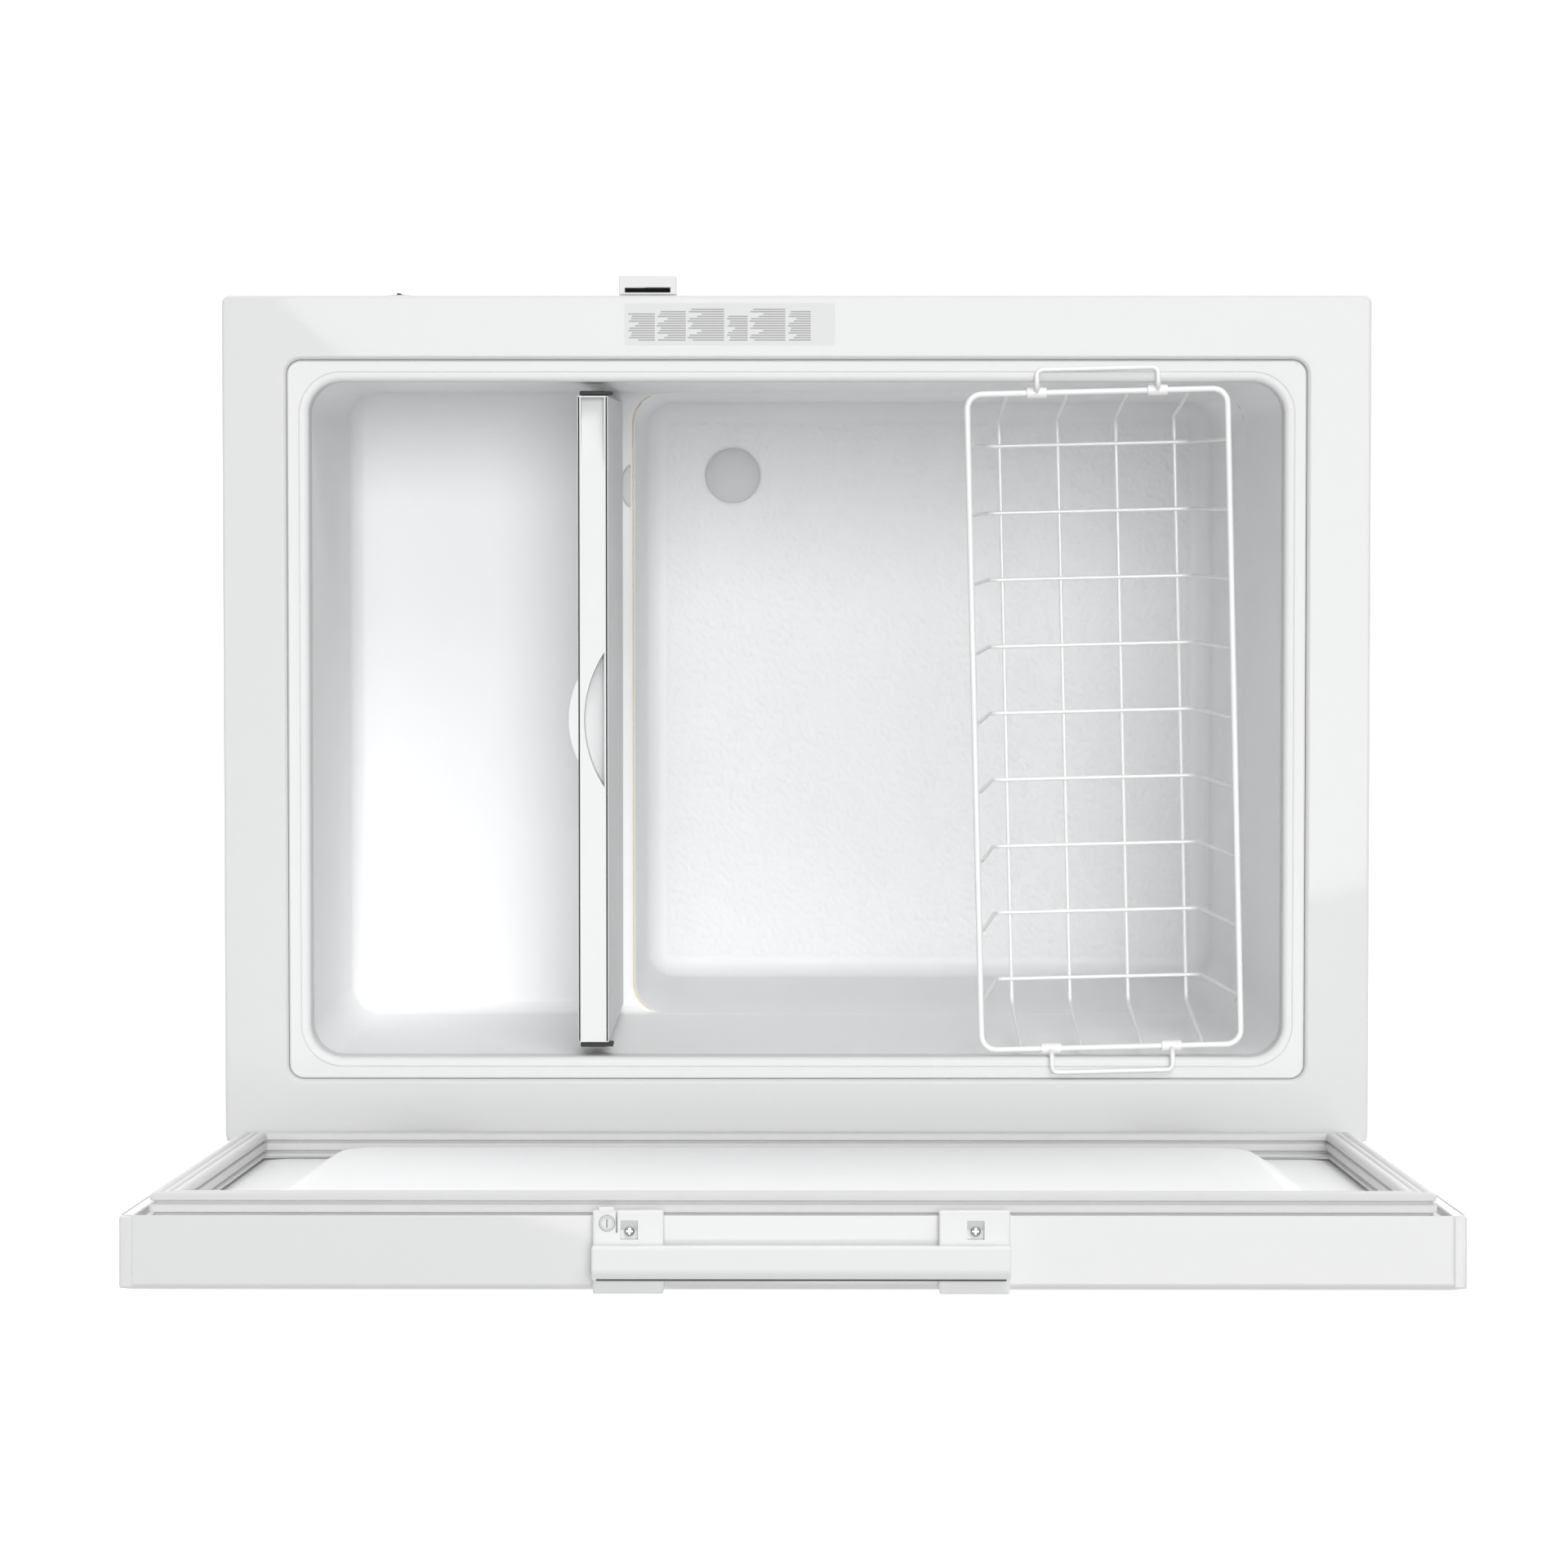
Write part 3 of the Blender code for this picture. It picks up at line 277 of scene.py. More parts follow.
def plate(outlines, z0, z1, edge=0.0006):
    """A flat plate with holes. The first outline is its border and the rest are holes."""
    data = bpy.data.curves.new("plate", "CURVE")
    data.dimensions = "2D"
    data.fill_mode = "BOTH"
    data.extrude = (z1 - z0) / 2 - edge
    data.bevel_depth = edge
    data.bevel_resolution = 2
    data.offset = -edge
    for outline in outlines:
        spline = data.splines.new("POLY")
        spline.points.add(len(outline) - 1)
        spline.use_cyclic_u = True
        for slot, (x, y) in zip(spline.points, outline):
            slot.co = (x, y, 0, 1)
    helper = bpy.data.objects.new("plate", data)
    bpy.context.scene.collection.objects.link(helper)
    bpy.context.view_layer.update()
    mesh = bpy.data.meshes.new_from_object(helper.evaluated_get(bpy.context.evaluated_depsgraph_get()))
    bpy.data.objects.remove(helper)
    bpy.data.curves.remove(data)
    bm = bmesh.new()
    bm.from_mesh(mesh)
    bpy.data.meshes.remove(mesh)
    return moved(tidy(bm, 2e-6), Matrix.Translation((0, 0, (z0 + z1) / 2)))


def upright(shape, y):
    """Stands a plate drawn in x and height so that it faces -Y, its lowest layer rearmost at y."""
    return moved(shape, Matrix.Translation((0, y, 0)) @ Matrix.Rotation(math.radians(90), 4, "X"))


def linked(name, shape):
    mesh = bpy.data.meshes.new(name)
    shape.to_mesh(mesh)
    shape.free()
    made = bpy.data.objects.new(name, mesh)
    bpy.context.scene.collection.objects.link(made)
    return made


def carved(shape, *tools, operation="DIFFERENCE"):
    """The shape with each tool cut from it, or joined to it."""
    work = linked("carved", shape)
    cutters = [linked("tool", tool) for tool in tools]
    for cutter in cutters:
        modifier = work.modifiers.new("Carve", "BOOLEAN")
        modifier.operation = operation
        modifier.solver = "EXACT"
        modifier.object = cutter
    bpy.context.view_layer.update()
    mesh = bpy.data.meshes.new_from_object(work.evaluated_get(bpy.context.evaluated_depsgraph_get()))
    result = bmesh.new()
    result.from_mesh(mesh)
    bpy.data.meshes.remove(mesh)
    for spent in [work, *cutters]:
        data = spent.data
        bpy.data.objects.remove(spent)
        bpy.data.meshes.remove(data)
    return result


def walled(made, thickness):
    """Gives an open skin a wall behind its faces, ahead of the modifier that weights its normals."""
    wall = made.modifiers.new("Wall", "SOLIDIFY")
    wall.thickness = thickness
    wall.offset = -1
    made.modifiers.move(1, 0)


def piece(name, shape, body, slot, *nodes, look=None, smooth=35, opened=False):
    """Finishes a piece: it rides on a body, takes a slot and that slot's look, and stands for CAD nodes."""
    if opened:
        shape.transform(OPEN)
    made = linked(name, shape)
    made.data.materials.append(look or LOOKS[slot])
    made.data.shade_smooth()
    made.data.set_sharp_from_angle(angle=math.radians(smooth))
    made.modifiers.new("Normals", "WEIGHTED_NORMAL").keep_sharp = True
    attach(made, body)
    if nodes:
        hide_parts(*nodes)
    return made


# Finishes

def node(tree, kind, inputs=None, **settings):
    made = tree.nodes.new(kind)
    for key, value in settings.items():
        setattr(made, key, value)
    for key, value in (inputs or {}).items():
        if isinstance(value, bpy.types.NodeSocket):
            tree.links.new(value, made.inputs[key])
        else:
            made.inputs[key].default_value = value
    return made


def grey(level, tint=(1.0, 1.0, 1.0)):
    return (level * tint[0], level * tint[1], level * tint[2], 1)


def finish(name, dark, light, rough, grain, bump, metallic=0.0, stretch=(1, 1, 1), cells=False, coat=0.0):
    """A finish with grain, in features per metre, in its colour, gloss and relief, which is bump deep."""
    made = bpy.data.materials.new(name)
    made.use_nodes = True
    tree = made.node_tree
    shader = tree.nodes["Principled BSDF"]
    shader.inputs["Metallic"].default_value = metallic
    shader.inputs["Coat Weight"].default_value = coat
    place = node(tree, "ShaderNodeTexCoord")
    spread = node(tree, "ShaderNodeMapping", {"Vector": place.outputs["Object"], "Scale": stretch})
    at = spread.outputs["Vector"]
    if cells:
        fine = node(tree, "ShaderNodeTexVoronoi", {"Vector": at, "Scale": grain}, feature="SMOOTH_F1")
        fine.inputs["Smoothness"].default_value = 0.4
        level = fine.outputs["Distance"]
    else:
        settings = {"Vector": at, "Scale": grain, "Detail": 3.0, "Roughness": 0.55}
        fine = node(tree, "ShaderNodeTexNoise", settings)
        level = fine.outputs["Fac"]
    settings = {"Vector": at, "Scale": grain / BROADER, "Detail": 2.0, "Roughness": 0.5}
    broad = node(tree, "ShaderNodeTexNoise", settings)
    mixed = {"Factor": 0.5, "A": level, "B": broad.outputs["Fac"]}
    both = node(tree, "ShaderNodeMix", mixed, data_type="FLOAT").outputs["Result"]
    colours = node(tree, "ShaderNodeMix", {"Factor": both}, data_type="RGBA")
    # A mix node has sockets named A and B for each data type, so the colour ones are found by type.
    for socket in colours.inputs:
        if socket.type == "RGBA" and socket.name == "A":
            socket.default_value = dark
        if socket.type == "RGBA" and socket.name == "B":
            socket.default_value = light
    result = [socket for socket in colours.outputs if socket.type == "RGBA"][0]
    tree.links.new(result, shader.inputs["Base Color"])
    gloss = node(tree, "ShaderNodeMapRange", {"Value": both, "To Min": rough[0], "To Max": rough[1]})
    tree.links.new(gloss.outputs["Result"], shader.inputs["Roughness"])
    relief = node(tree, "ShaderNodeBump", {"Height": level, "Distance": bump, "Strength": 1.0})
    tree.links.new(relief.outputs["Normal"], shader.inputs["Normal"])
    return made


COOL = (0.995, 1.0, 1.005)
ENAMEL = (grey(0.66, COOL), grey(0.70, COOL), (0.42, 0.54), 900, 0.00004)
LOOKS = {
    "white_enamel": finish("enamel", *ENAMEL, coat=0.15),
    "lid_enamel": finish("lid_enamel", *ENAMEL, coat=0.15),
    "white_plastic": finish("satin_plastic", grey(0.74, COOL), grey(0.78, COOL), (0.44, 0.56), 1400, 0.00003),
    "embossed_liner": finish("liner", grey(0.955, COOL), grey(0.975, COOL), (0.40, 0.52), 700, 0.00005),
    "lid_plastic": finish("lid_plastic", grey(0.84, COOL), grey(0.88, COOL), (0.40, 0.52), 1400, 0.00003),
    "gasket_vinyl": finish("vinyl", grey(0.60), grey(0.68), (0.50, 0.65), 1600, 0.00004),
    "insulation_foam": finish(
        "foam", (0.70, 0.60, 0.36, 1), (0.88, 0.80, 0.56, 1), (0.85, 0.98), 700, 0.0006, cells=True
    ),
    "copper_tube": finish(
        "copper", (0.60, 0.27, 0.16, 1), (0.80, 0.44, 0.30, 1), (0.22, 0.42), 300, 0.00003, metallic=1.0
    ),
    "galvanised_steel": finish(
        "galvanised", grey(0.45, COOL), grey(0.66, COOL), (0.32, 0.52), 60, 0.00002, metallic=1.0, cells=True
    ),
    "black_enamel": finish("black_enamel", grey(0.015), grey(0.03), (0.25, 0.42), 600, 0.00006),
    "dark_plastic": finish("dark_plastic", grey(0.035), grey(0.06), (0.42, 0.58), 1500, 0.00006),
    "grey_plastic": finish("grey_plastic", grey(0.70, COOL), grey(0.76, COOL), (0.42, 0.56), 1500, 0.00005),
    "black_rubber": finish("rubber", grey(0.02), grey(0.045), (0.60, 0.80), 1100, 0.00008),
    "coated_wire": finish("epoxy_wire", grey(0.86), grey(0.90), (0.25, 0.38), 900, 0.00004, coat=0.2),
    "lock_metal": finish(
        "satin_nickel", grey(0.50, COOL), grey(0.58, COOL), (0.45, 0.60), 700, 0.00002, metallic=0.6
    ),
    "plated_steel": finish(
        "zinc", grey(0.52, COOL), grey(0.72, COOL), (0.18, 0.34), 500, 0.00002, 1.0, stretch=(1, 6, 1)
    ),
    "green_lens": finish(
        "lens", (0.02, 0.34, 0.08, 1), (0.05, 0.48, 0.13, 1), (0.08, 0.16), 900, 0.00003, coat=0.6
    ),
}
# A near-black finish. It paints shade on dark plates set in slots, holes, pockets and grooves where only shade
# falls, and it is also the colour of the dial's dark ticks.
PAINTED_SHADE_AND_TICKS = finish("painted_shade_and_ticks", grey(0.02), grey(0.035), (0.7, 0.9), 800, 0.00005)
STICKER = finish("sticker", grey(0.67, COOL), grey(0.71, COOL), (0.42, 0.54), 1200, 0.00002)
PRINT = finish("print", grey(0.30), grey(0.42), (0.40, 0.55), 2600, 0.00001)


# Cabinet

def wrap():
    """The painted sheet round the front and sides, with the grille's opening."""
    low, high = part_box("outer_wrap")
    corner, rear, fold = 0.007, Y1 - 0.008, 0.004
    outer = [point for point in plan(0, corner) if point[1] < rear]
    inner = [point for point in plan(SHEET, corner - SHEET) if point[1] < rear]
    outline = [(X0, Y1), *outer, (X1, Y1), (X1 - SHEET, Y1), *inner[::-1], (X0 + SHEET, Y1)]
    shell = loft([at_height(outline, z) for z in (low.z, low.z + fold, high.z - fold, high.z)])
    grille_low, grille_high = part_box("vent_grille")
    reach, spare = 0.02, 0.0004
    hole = box(
        (X1 - reach, grille_low.y - spare, grille_low.z - spare),
        (X1 + reach, grille_high.y + spare, grille_high.z + spare),
    )
    piece("cabinet_wrap", carved(shell, hole), "cabinet", "white_enamel", "outer_wrap")


def deck():
    """The pressed flange round the mouth: a tight outer lip and a softer fall to the mouth's frame."""
    lip, fall = 0.0025, 0.0035
    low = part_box("top_flange")[0].z
    profile = [(0, low)]
    profile += bend((lip, TOP - lip), lip, 180, 90)
    profile += bend((BAND - fall, TOP - fall), fall, 90, 0)
    profile += [(BAND, low)]
    rows = []
    for inset, z in profile:
        radius = 0.007 - inset if inset < 0.01 else 0.012 + BAND - inset
        rows.append(at_height(plan(inset, max(radius, 0.001)), z))
    piece("deck", loft(rows, ring=True), "cabinet", "white_enamel", "top_flange")


def mouth_frame():
    """The plastic frame inside the deck, with a fine groove before it rolls over into the tank."""
    edge, roll, chamfer = BAND + GAP, 0.005, 0.0006
    groove = LEDGE - roll - 0.0030
    profile = [(edge, FRAME_LOW), (edge, LEDGE_Z - 0.0012), (edge + 0.0012, LEDGE_Z)]
    profile += [(groove - chamfer, LEDGE_Z), (groove, LEDGE_Z - 0.0008), (groove + chamfer, LEDGE_Z)]
    profile += bend((LEDGE - roll, LEDGE_Z - roll), roll, 90, 0, 6)
    profile += [(LEDGE, FRAME_LOW + chamfer), (LEDGE - chamfer, FRAME_LOW)]
    rows = []
    for inset, z in profile:
        radius = 0.012 - (inset - BAND) if inset < BAND + 0.003 else MOUTH_R + LEDGE - inset
        rows.append(at_height(plan(inset, radius, 12), z))
    piece("mouth_frame", loft(rows, ring=True), "cabinet", "white_plastic", "breaker_frame")


def tank_plan(z, right=None, inset=0.0, grow=0.0):
    """The tank's outline at a height. Its walls lean in, and stand 2 mm further in below the step."""
    lean = DRAFT * (TOP - z)
    below = min(max((STEP_Z - z) / 0.03, 0.0), 1.0)
    extra = 0.0008 + 0.0012 * below if right is not None else 0.0
    side, end = lean + extra + inset - grow, (lean + extra) / 2 + inset - grow
    x1 = X1 - LEDGE - side if right is None else right - inset
    radius = max(MOUTH_R - inset + grow, 0.004)
    return rect(X0 + LEDGE + side, Y0 + LEDGE + end, x1, Y1 - LEDGE - end, radius, 12)


def stucco(x, y):
    """Height of the embossing, from 0 to 1."""
    at = Vector((x * 290 + y * 60, y * 190, 0))
    value = 0.5 + 0.85 * noise.noise(at) + 0.30 * noise.noise(at * 2.3 + Vector((7.3, 1.9, 4.1)))
    return min(max(value, 0.0), 1.0)


def tank():
    """The liner: the deep well and the whole mouth above the step, joined and open at the top."""
    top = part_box("inner_liner")[1].z
    quarter = [90 * i / 6 for i in range(7)]
    rows = []
    for turn in quarter:
        inset = WELL_FILLET * (1 - math.sin(math.radians(turn)))
        z = WELL_Z + WELL_FILLET * (1 - math.cos(math.radians(turn)))
        rows.append(at_height(tank_plan(z, RISER_X, inset), z))
    flare = 0.007
    for turn in [80 * i / 6 for i in range(7)]:
        z = STEP_Z - flare + flare * math.sin(math.radians(turn))
        right = RISER_X + flare * (1 - math.cos(math.radians(turn)))
        rows.append(at_height(tank_plan(z, right), z))
    for z in (STEP_Z + 0.0006, top - 0.002):
        rows.append(at_height(tank_plan(z, RISER_X + flare * 1.3), z))
    well = loft(rows)

    soft = 0.014
    rows = []
    for turn in quarter:
        inset = soft * (1 - math.sin(math.radians(turn)))
        z = STEP_Z + soft * (1 - math.cos(math.radians(turn)))
        rows.append(at_height(tank_plan(z, None, inset, GAP), z))
    rows.append(at_height(tank_plan(top, None, 0, GAP), top))
    room = carved(well, loft(rows), operation="UNION")
    lids = [face for face in room.faces if face.calc_center_median().z > top - 1e-4]
    bmesh.ops.delete(room, geom=lids, context="FACES")
    bmesh.ops.recalc_face_normals(room, faces=room.faces)
    upward = sum(face.normal.z * face.calc_area() for face in room.faces)
    if upward < 0:
        bmesh.ops.reverse_faces(room, faces=room.faces[:])
    walled(piece("tank", room, "cabinet", "embossed_liner", "inner_liner"), SHEET)


def step_ear():
    """The half-oval tab that stands on the step at the head of the riser."""
    x, y = RISER_X + 0.004, Y0 + 0.154
    half_x, half_y = 0.0085, 0.019
    turns = [math.pi * i / 16 for i in range(17)]
    rows = []
    for reach, rise in ((1.0, 0.0), (0.92, 0.0012), (0.75, 0.0018)):
        oval = [(x + half_x * reach * math.sin(t), y - half_y * reach * math.cos(t)) for t in turns]
        rows.append(at_height(oval, STEP_Z + 0.0001 + rise))
    piece("step_ear", loft(rows), "cabinet", "grey_plastic")


def tank_floor():
    """The deep floor's embossed skin. It sinks into the liner at its rim and round the drain."""
    pitch = 0.0013
    inward, bare = 0.002, 0.024
    lean = DRAFT * (TOP - WELL_Z)
    low_x, high_x = X0 + LEDGE + lean + inward + WELL_FILLET, RISER_X - WELL_FILLET
    low_y = Y0 + LEDGE + lean / 2 + inward / 2 + WELL_FILLET
    high_y = Y1 - LEDGE - lean / 2 - inward / 2 - WELL_FILLET
    nx, ny = int((high_x - low_x) / pitch), int((high_y - low_y) / pitch)
    corner = (MOUTH_R - WELL_FILLET) * 0.3
    bm = bmesh.new()
    verts = {}
    for i in range(nx + 1):
        for j in range(ny + 1):
            x = low_x + (high_x - low_x) * i / nx
            y = low_y + (high_y - low_y) * j / ny
            from_x, from_y = min(x - low_x, high_x - x), min(y - low_y, high_y - y)
            far = math.hypot(x - DRAIN.x, y - DRAIN.y) - bare
            if from_x + from_y < corner or far < 0:
                continue
            ease = min(1.0, max(min(from_x, from_y), 0.0) / 0.006, far / 0.004)
            height = -0.0003 + ease * (0.0004 + 0.0011 * stucco(x, y))
            verts[i, j] = bm.verts.new((x, y, WELL_Z + height))
    for i in range(nx):
        for j in range(ny):
            cell = [(i, j), (i + 1, j), (i + 1, j + 1), (i, j + 1)]
            if all(c in verts for c in cell):
                bm.faces.new([verts[c] for c in cell])
    piece("tank_floor", bm, "cabinet", "embossed_liner", smooth=60).modifiers.clear()


def sticker():
    """A blank rating sheet on the front of the deck, with columns of plain grey bars."""
    x0, x1 = -0.031, 0.139
    y0, y1 = Y0 + 0.0066, Y0 + 0.0403
    base = plate([rect(x0, y0, x1, y1, 0.002, 4)], TOP + 0.00002, TOP + 0.00012, 0.00003)
    piece("sticker", base, "cabinet", "white_plastic", look=STICKER)
    # (distance from the sheet's right edge, width, number of bars)
    columns = [(0.003, 0.0215, 12), (0.026, 0.0235, 13), (0.051, 0.0295, 14)]
    columns += [(0.083, 0.0165, 11), (0.101, 0.0290, 14), (0.132, 0.0185, 13)]
    lengths = (0.86, 0.97, 0.74, 1.0, 0.90, 0.62, 0.95)
    margin, pitch, tall = 0.0035, 0.0019, 0.0011
    bars = []
    for inset, width, count in columns:
        left = x1 - inset - width
        for row in range(count):
            right = left + width * lengths[(row * 3 + count) % len(lengths)]
            high = y1 - margin - row * pitch
            bars.append(box((left, high - tall, TOP + 0.00008), (right, high, TOP + 0.00020)))
    piece("sticker_panels", merged(*bars), "cabinet", "grey_plastic", look=PRINT)


def slots(x0, x1, z0, z1, count, tall):
    pitch = (z1 - z0 - tall) / (count - 1)
    return [rect(x0, z0 + pitch * i, x1, z0 + pitch * i + tall, tall * 0.45, 4) for i in range(count)]


def screw(at, axis="-Y", radius=0.0042):
    """A pan head with a cross recess."""
    profile = [(0, 0.0026), (radius * 0.5, 0.0025), (radius * 0.85, 0.0018), (radius, 0.0007)]
    head = lathe([*profile, (radius, 0), (0, 0)], steps=24)
    arm, thin = radius * 0.62, radius * 0.12
    low, high = 0.0012, 0.004
    first = box((-arm, -thin, low), (arm, thin, high))
    second = box((-thin, -arm, low), (thin, arm, high))
    return stood(carved(head, first, second), at, axis)


def rear_sheet():
    """The rear panel, notched round the compressor bay and stiffened by three upright ribs."""
    low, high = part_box("rear_panel")
    bay_low, bay_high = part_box("bay_cover")
    notch = [
        (low.x, low.z), (bay_low.x - GAP, low.z), (bay_low.x - GAP, bay_high.z + GAP),
        (high.x, bay_high.z + GAP), (high.x, high.z), (low.x, high.z),
    ]
    margin, thinnest = 0.07, 0.0005
    ribs = []
    for x in (-0.30, -0.10, 0.10):
        rows = []
        for reach, height in ((0.010, -0.0002), (0.0085, 0.0012), (0.005, 0.0020), (0, 0.0022)):
            half = max(reach, thinnest)
            line = rect(x - half, low.z + margin - reach, x + half, high.z - margin + reach, half * 0.98, 6)
            rows.append([(px, high.y + height, pz) for px, pz in line])
        ribs.append(loft(rows))
    sheet = upright(plate([notch], 0, SHEET, 0.0002), high.y)
    piece("rear_sheet", merged(sheet, *ribs), "cabinet", "galvanised_steel", "rear_panel")


def bay_panel():
    """The compressor bay's cover: a hood over each slot, and a hole for the gland."""
    low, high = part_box("bay_cover")
    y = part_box("rear_panel")[1].y
    foot, head, count, tall = 0.16, 0.38, 12, 0.008
    holes = slots(low.x + 0.04, high.x - 0.04, foot, head, count, tall)
    centre = centre_of("cord_gland")
    bore = 0.0075
    turns = [math.pi * i / 12 for i in range(24)]
    hole = [(centre.x + bore * math.cos(t), centre.z + bore * math.sin(t)) for t in turns]
    cover = upright(plate([rect(low.x, low.z, high.x, high.z, 0.003, 3), hole, *holes], 0, SHEET, 0.0002), y)
    ends = ((low.x + 0.038, 0.0), (low.x + 0.043, 1.0), (high.x - 0.043, 1.0), (high.x - 0.038, 0.0))
    pitch = (head - foot - tall) / (count - 1)
    hoods = []
    for i in range(count):
        z = foot + pitch * i + tall
        rows = []
        for x, full in ends:
            out = y + 0.0003 + 0.0035 * full
            rows.append([(x, y, z), (x, out, z - 0.002), (x, out, z - 0.0028), (x, y, z - 0.0004)])
        hoods.append(loft(rows))
    piece("bay_panel", merged(cover, *hoods), "cabinet", "galvanised_steel", "bay_cover")


def rear_screws():
    low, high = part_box("rear_panel")
    bay_low, bay_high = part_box("bay_cover")
    edge, end = 0.008, 0.012
    places = [(x, high.z - 0.010) for x in (low.x + edge, -0.2, 0.0, high.x - edge)]
    for x in (bay_low.x + edge, bay_high.x - edge):
        places += [(x, z) for z in (bay_low.z + end, (bay_low.z + bay_high.z) / 2, bay_high.z - end)]
    places += [(low.x + edge, z) for z in (0.12, 0.45, 0.75)]
    heads = [screw((x, high.y, z), "Y", 0.0035) for x, z in places]
    piece("rear_screws", merged(*heads), "cabinet", "plated_steel")


def gland():
    """The rubber gland for the supply cord, with four rings."""
    centre = centre_of("cord_gland")
    rings = [(0.004, 0.0100), (0.0078, 0.0100), (0.0084, 0.0094)]
    for i in range(4):
        z = 0.0088 - i * 0.002
        rings += [(0.0090, z), (0.0090, z - 0.0008), (0.0080, z - 0.0010), (0.0080, z - 0.0014)]
    rings += [(0.0110, 0.0004), (0.0110, 0.0003), (0.0064, 0.0003), (0.0064, -0.008), (0.004, -0.008)]
    shape = lathe(rings, (centre.x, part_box("rear_panel")[1].y, centre.z), "Y", 32)
    piece("gland", shape, "cabinet", "black_rubber", "cord_gland")


def side_grille():
    """A plate with slots and a sloping blade in each, over a near-black sheet that paints the shade inside the
    bay.
    """
    low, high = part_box("vent_grille")
    count, tall, margin = 9, 0.009, 0.014
    z0, z1 = low.z + margin, high.z - margin
    holes = slots(low.y + margin, high.y - margin, z0, z1, count, tall)
    face = plate([rect(low.y, low.z, high.y, high.z, 0.004, 4), *holes], 0.0004, 0.004, 0.0006)
    face.transform(Matrix(((0, 0, 1, low.x), (1, 0, 0, 0), (0, 1, 0, 0), (0, 0, 0, 1))))
    pitch = (z1 - z0 - tall) / (count - 1)
    outer, inner = high.x - 0.0004, low.x + 0.0004
    # The blade's section: its outer edge stands higher than its inner one.
    section = ((outer, 0.0086), (outer, 0.0074), (inner, -0.0002), (inner, 0.0012))
    blades = []
    for i in range(count):
        z = z0 + pitch * i
        ends = (low.y + 0.0135, high.y - 0.0135)
        blades.append(loft([[(x, y, z + rise) for x, rise in section] for y in ends]))
    piece("side_grille", merged(face, *blades), "cabinet", "white_plastic", "vent_grille")
    # Painted shade: a near-black sheet behind the slots stands for the shade inside the compressor bay.
    edge = 0.004
    bay_shade_sheet = box(
        (low.x - 0.0016, low.y + edge, low.z + edge), (low.x - 0.0004, high.y - edge, high.z - edge), 0.0003
    )
    piece("grille_bay_shade", bay_shade_sheet, "cabinet", "dark_plastic", look=PAINTED_SHADE_AND_TICKS)


def base_plate():
    """The base pan, with three pressed ribs under it."""
    low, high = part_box("base_pan")
    pan = loft([at_height(plan(0.0015, 0.006), z) for z in (low.z, high.z)])
    margin = 0.09
    ribs = []
    for x in (-0.28, -0.14, 0.0):
        rows = []
        for reach, drop in ((0.010, -0.0002), (0.008, 0.0018), (0.005, 0.0026)):
            line = rect(x - reach, Y0 + margin - reach, x + reach, Y1 - margin + reach, reach * 0.95, 6)
            rows.append(at_height(line, low.z - drop))
        ribs.append(loft(rows))
    piece("base_plate", merged(pan, *ribs), "cabinet", "galvanised_steel", "base_pan")


def feet():
    """Four screwed feet: a stem and a pad whose rim is ribbed."""
    for end in ("front", "rear"):
        for side in ("left", "right"):
            low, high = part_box(f"foot_{end}_{side}")
            middle, tall = (low + high) / 2, high.z - low.z
            profile = [(0, tall), (0.0118, tall), (0.0118, 0.0165), (0.0128, 0.0160), (0.0128, 0.0148)]
            profile += [(0.0175, 0.0140), (0.0198, 0.0115), (0.0200, 0.0030), (0.0186, 0.0008)]
            profile += [(0.0165, 0), (0, 0)]
            shape = lathe(profile, (middle.x, middle.y, 0), "Z", 72, ribs=18, rib=0.0150)
            piece(f"foot_pad_{end}_{side}", shape, "cabinet", "dark_plastic", f"foot_{end}_{side}")


# Front fittings

def controls():
    """The control plate: a shallow recess, the dial's bore, the lamp's eye, and ticks round the dial."""
    low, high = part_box("control_panel")
    centre, lens = centre_of("thermostat_knob"), centre_of("pilot_lens")
    face, rim, sunk, through = low.y, 0.004, 0.0010, 0.02
    hollow = box(
        (low.x + rim, face - 0.01, low.z + rim), (high.x - rim, face + sunk, high.z - rim), 0.0008
    )
    bore = drill(0.0050, through, -through, (centre.x, face, centre.z))
    eye = drill(0.0054, through, -through, (lens.x, face, lens.z))
    panel = carved(box(low, high, 0.0018, 4), hollow, bore, eye)
    profile = [(0.0056, 0.0010), (0.0080, 0.0010), (0.0084, 0.0004), (0.0084, -0.0012), (0.0056, -0.0012)]
    bezel = lathe(profile, (lens.x, face, lens.z), "-Y", 32)
    piece("control_face", merged(panel, bezel), "cabinet", "grey_plastic", "control_panel")

    first, last, count, start = -135, 135, 11, 0.0205
    ticks = []
    for i in range(count):
        turn = math.radians(first + (last - first) / (count - 1) * i)
        long = 0.0028 if i % 5 == 0 else 0.0018
        tick = box((-0.00035, -0.0002, start), (0.00035, 0.0002, start + long), 0.0001, 1)
        place = Matrix.Translation((centre.x, face + sunk, centre.z)) @ Matrix.Rotation(turn, 4, "Y")
        ticks.append(moved(tick, place))
    piece("dial_ticks", merged(*ticks), "cabinet", "dark_plastic", look=PAINTED_SHADE_AND_TICKS)


def dial():
    """The thermostat's ribbed knob, with a raised grip and a white mark."""
    centre = centre_of("thermostat_knob")
    at = (centre.x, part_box("control_panel")[0].y - 0.0006, centre.z)
    profile = [(0, 0.0176), (0.0118, 0.0176), (0.0132, 0.0172), (0.0142, 0.0160), (0.0172, 0.0016)]
    profile += [(0.0176, 0.0004), (0.0176, 0), (0.0040, 0), (0.0040, -0.0150), (0, -0.0150)]
    body = lathe(profile, steps=96, ribs=24, rib=0.0135)
    grip = box((-0.0022, -0.0125, 0.014), (0.0022, 0.0125, 0.0190), 0.0010)
    knob = stood(merged(body, grip), at, "-Y")
    piece("dial", knob, "thermostat_knob", "dark_plastic", "thermostat_knob")
    mark = stood(box((-0.0006, 0.004, 0.0186), (0.0006, 0.0118, 0.0192), 0.0002, 1), at, "-Y")
    piece("dial_mark", mark, "thermostat_knob", "white_plastic")


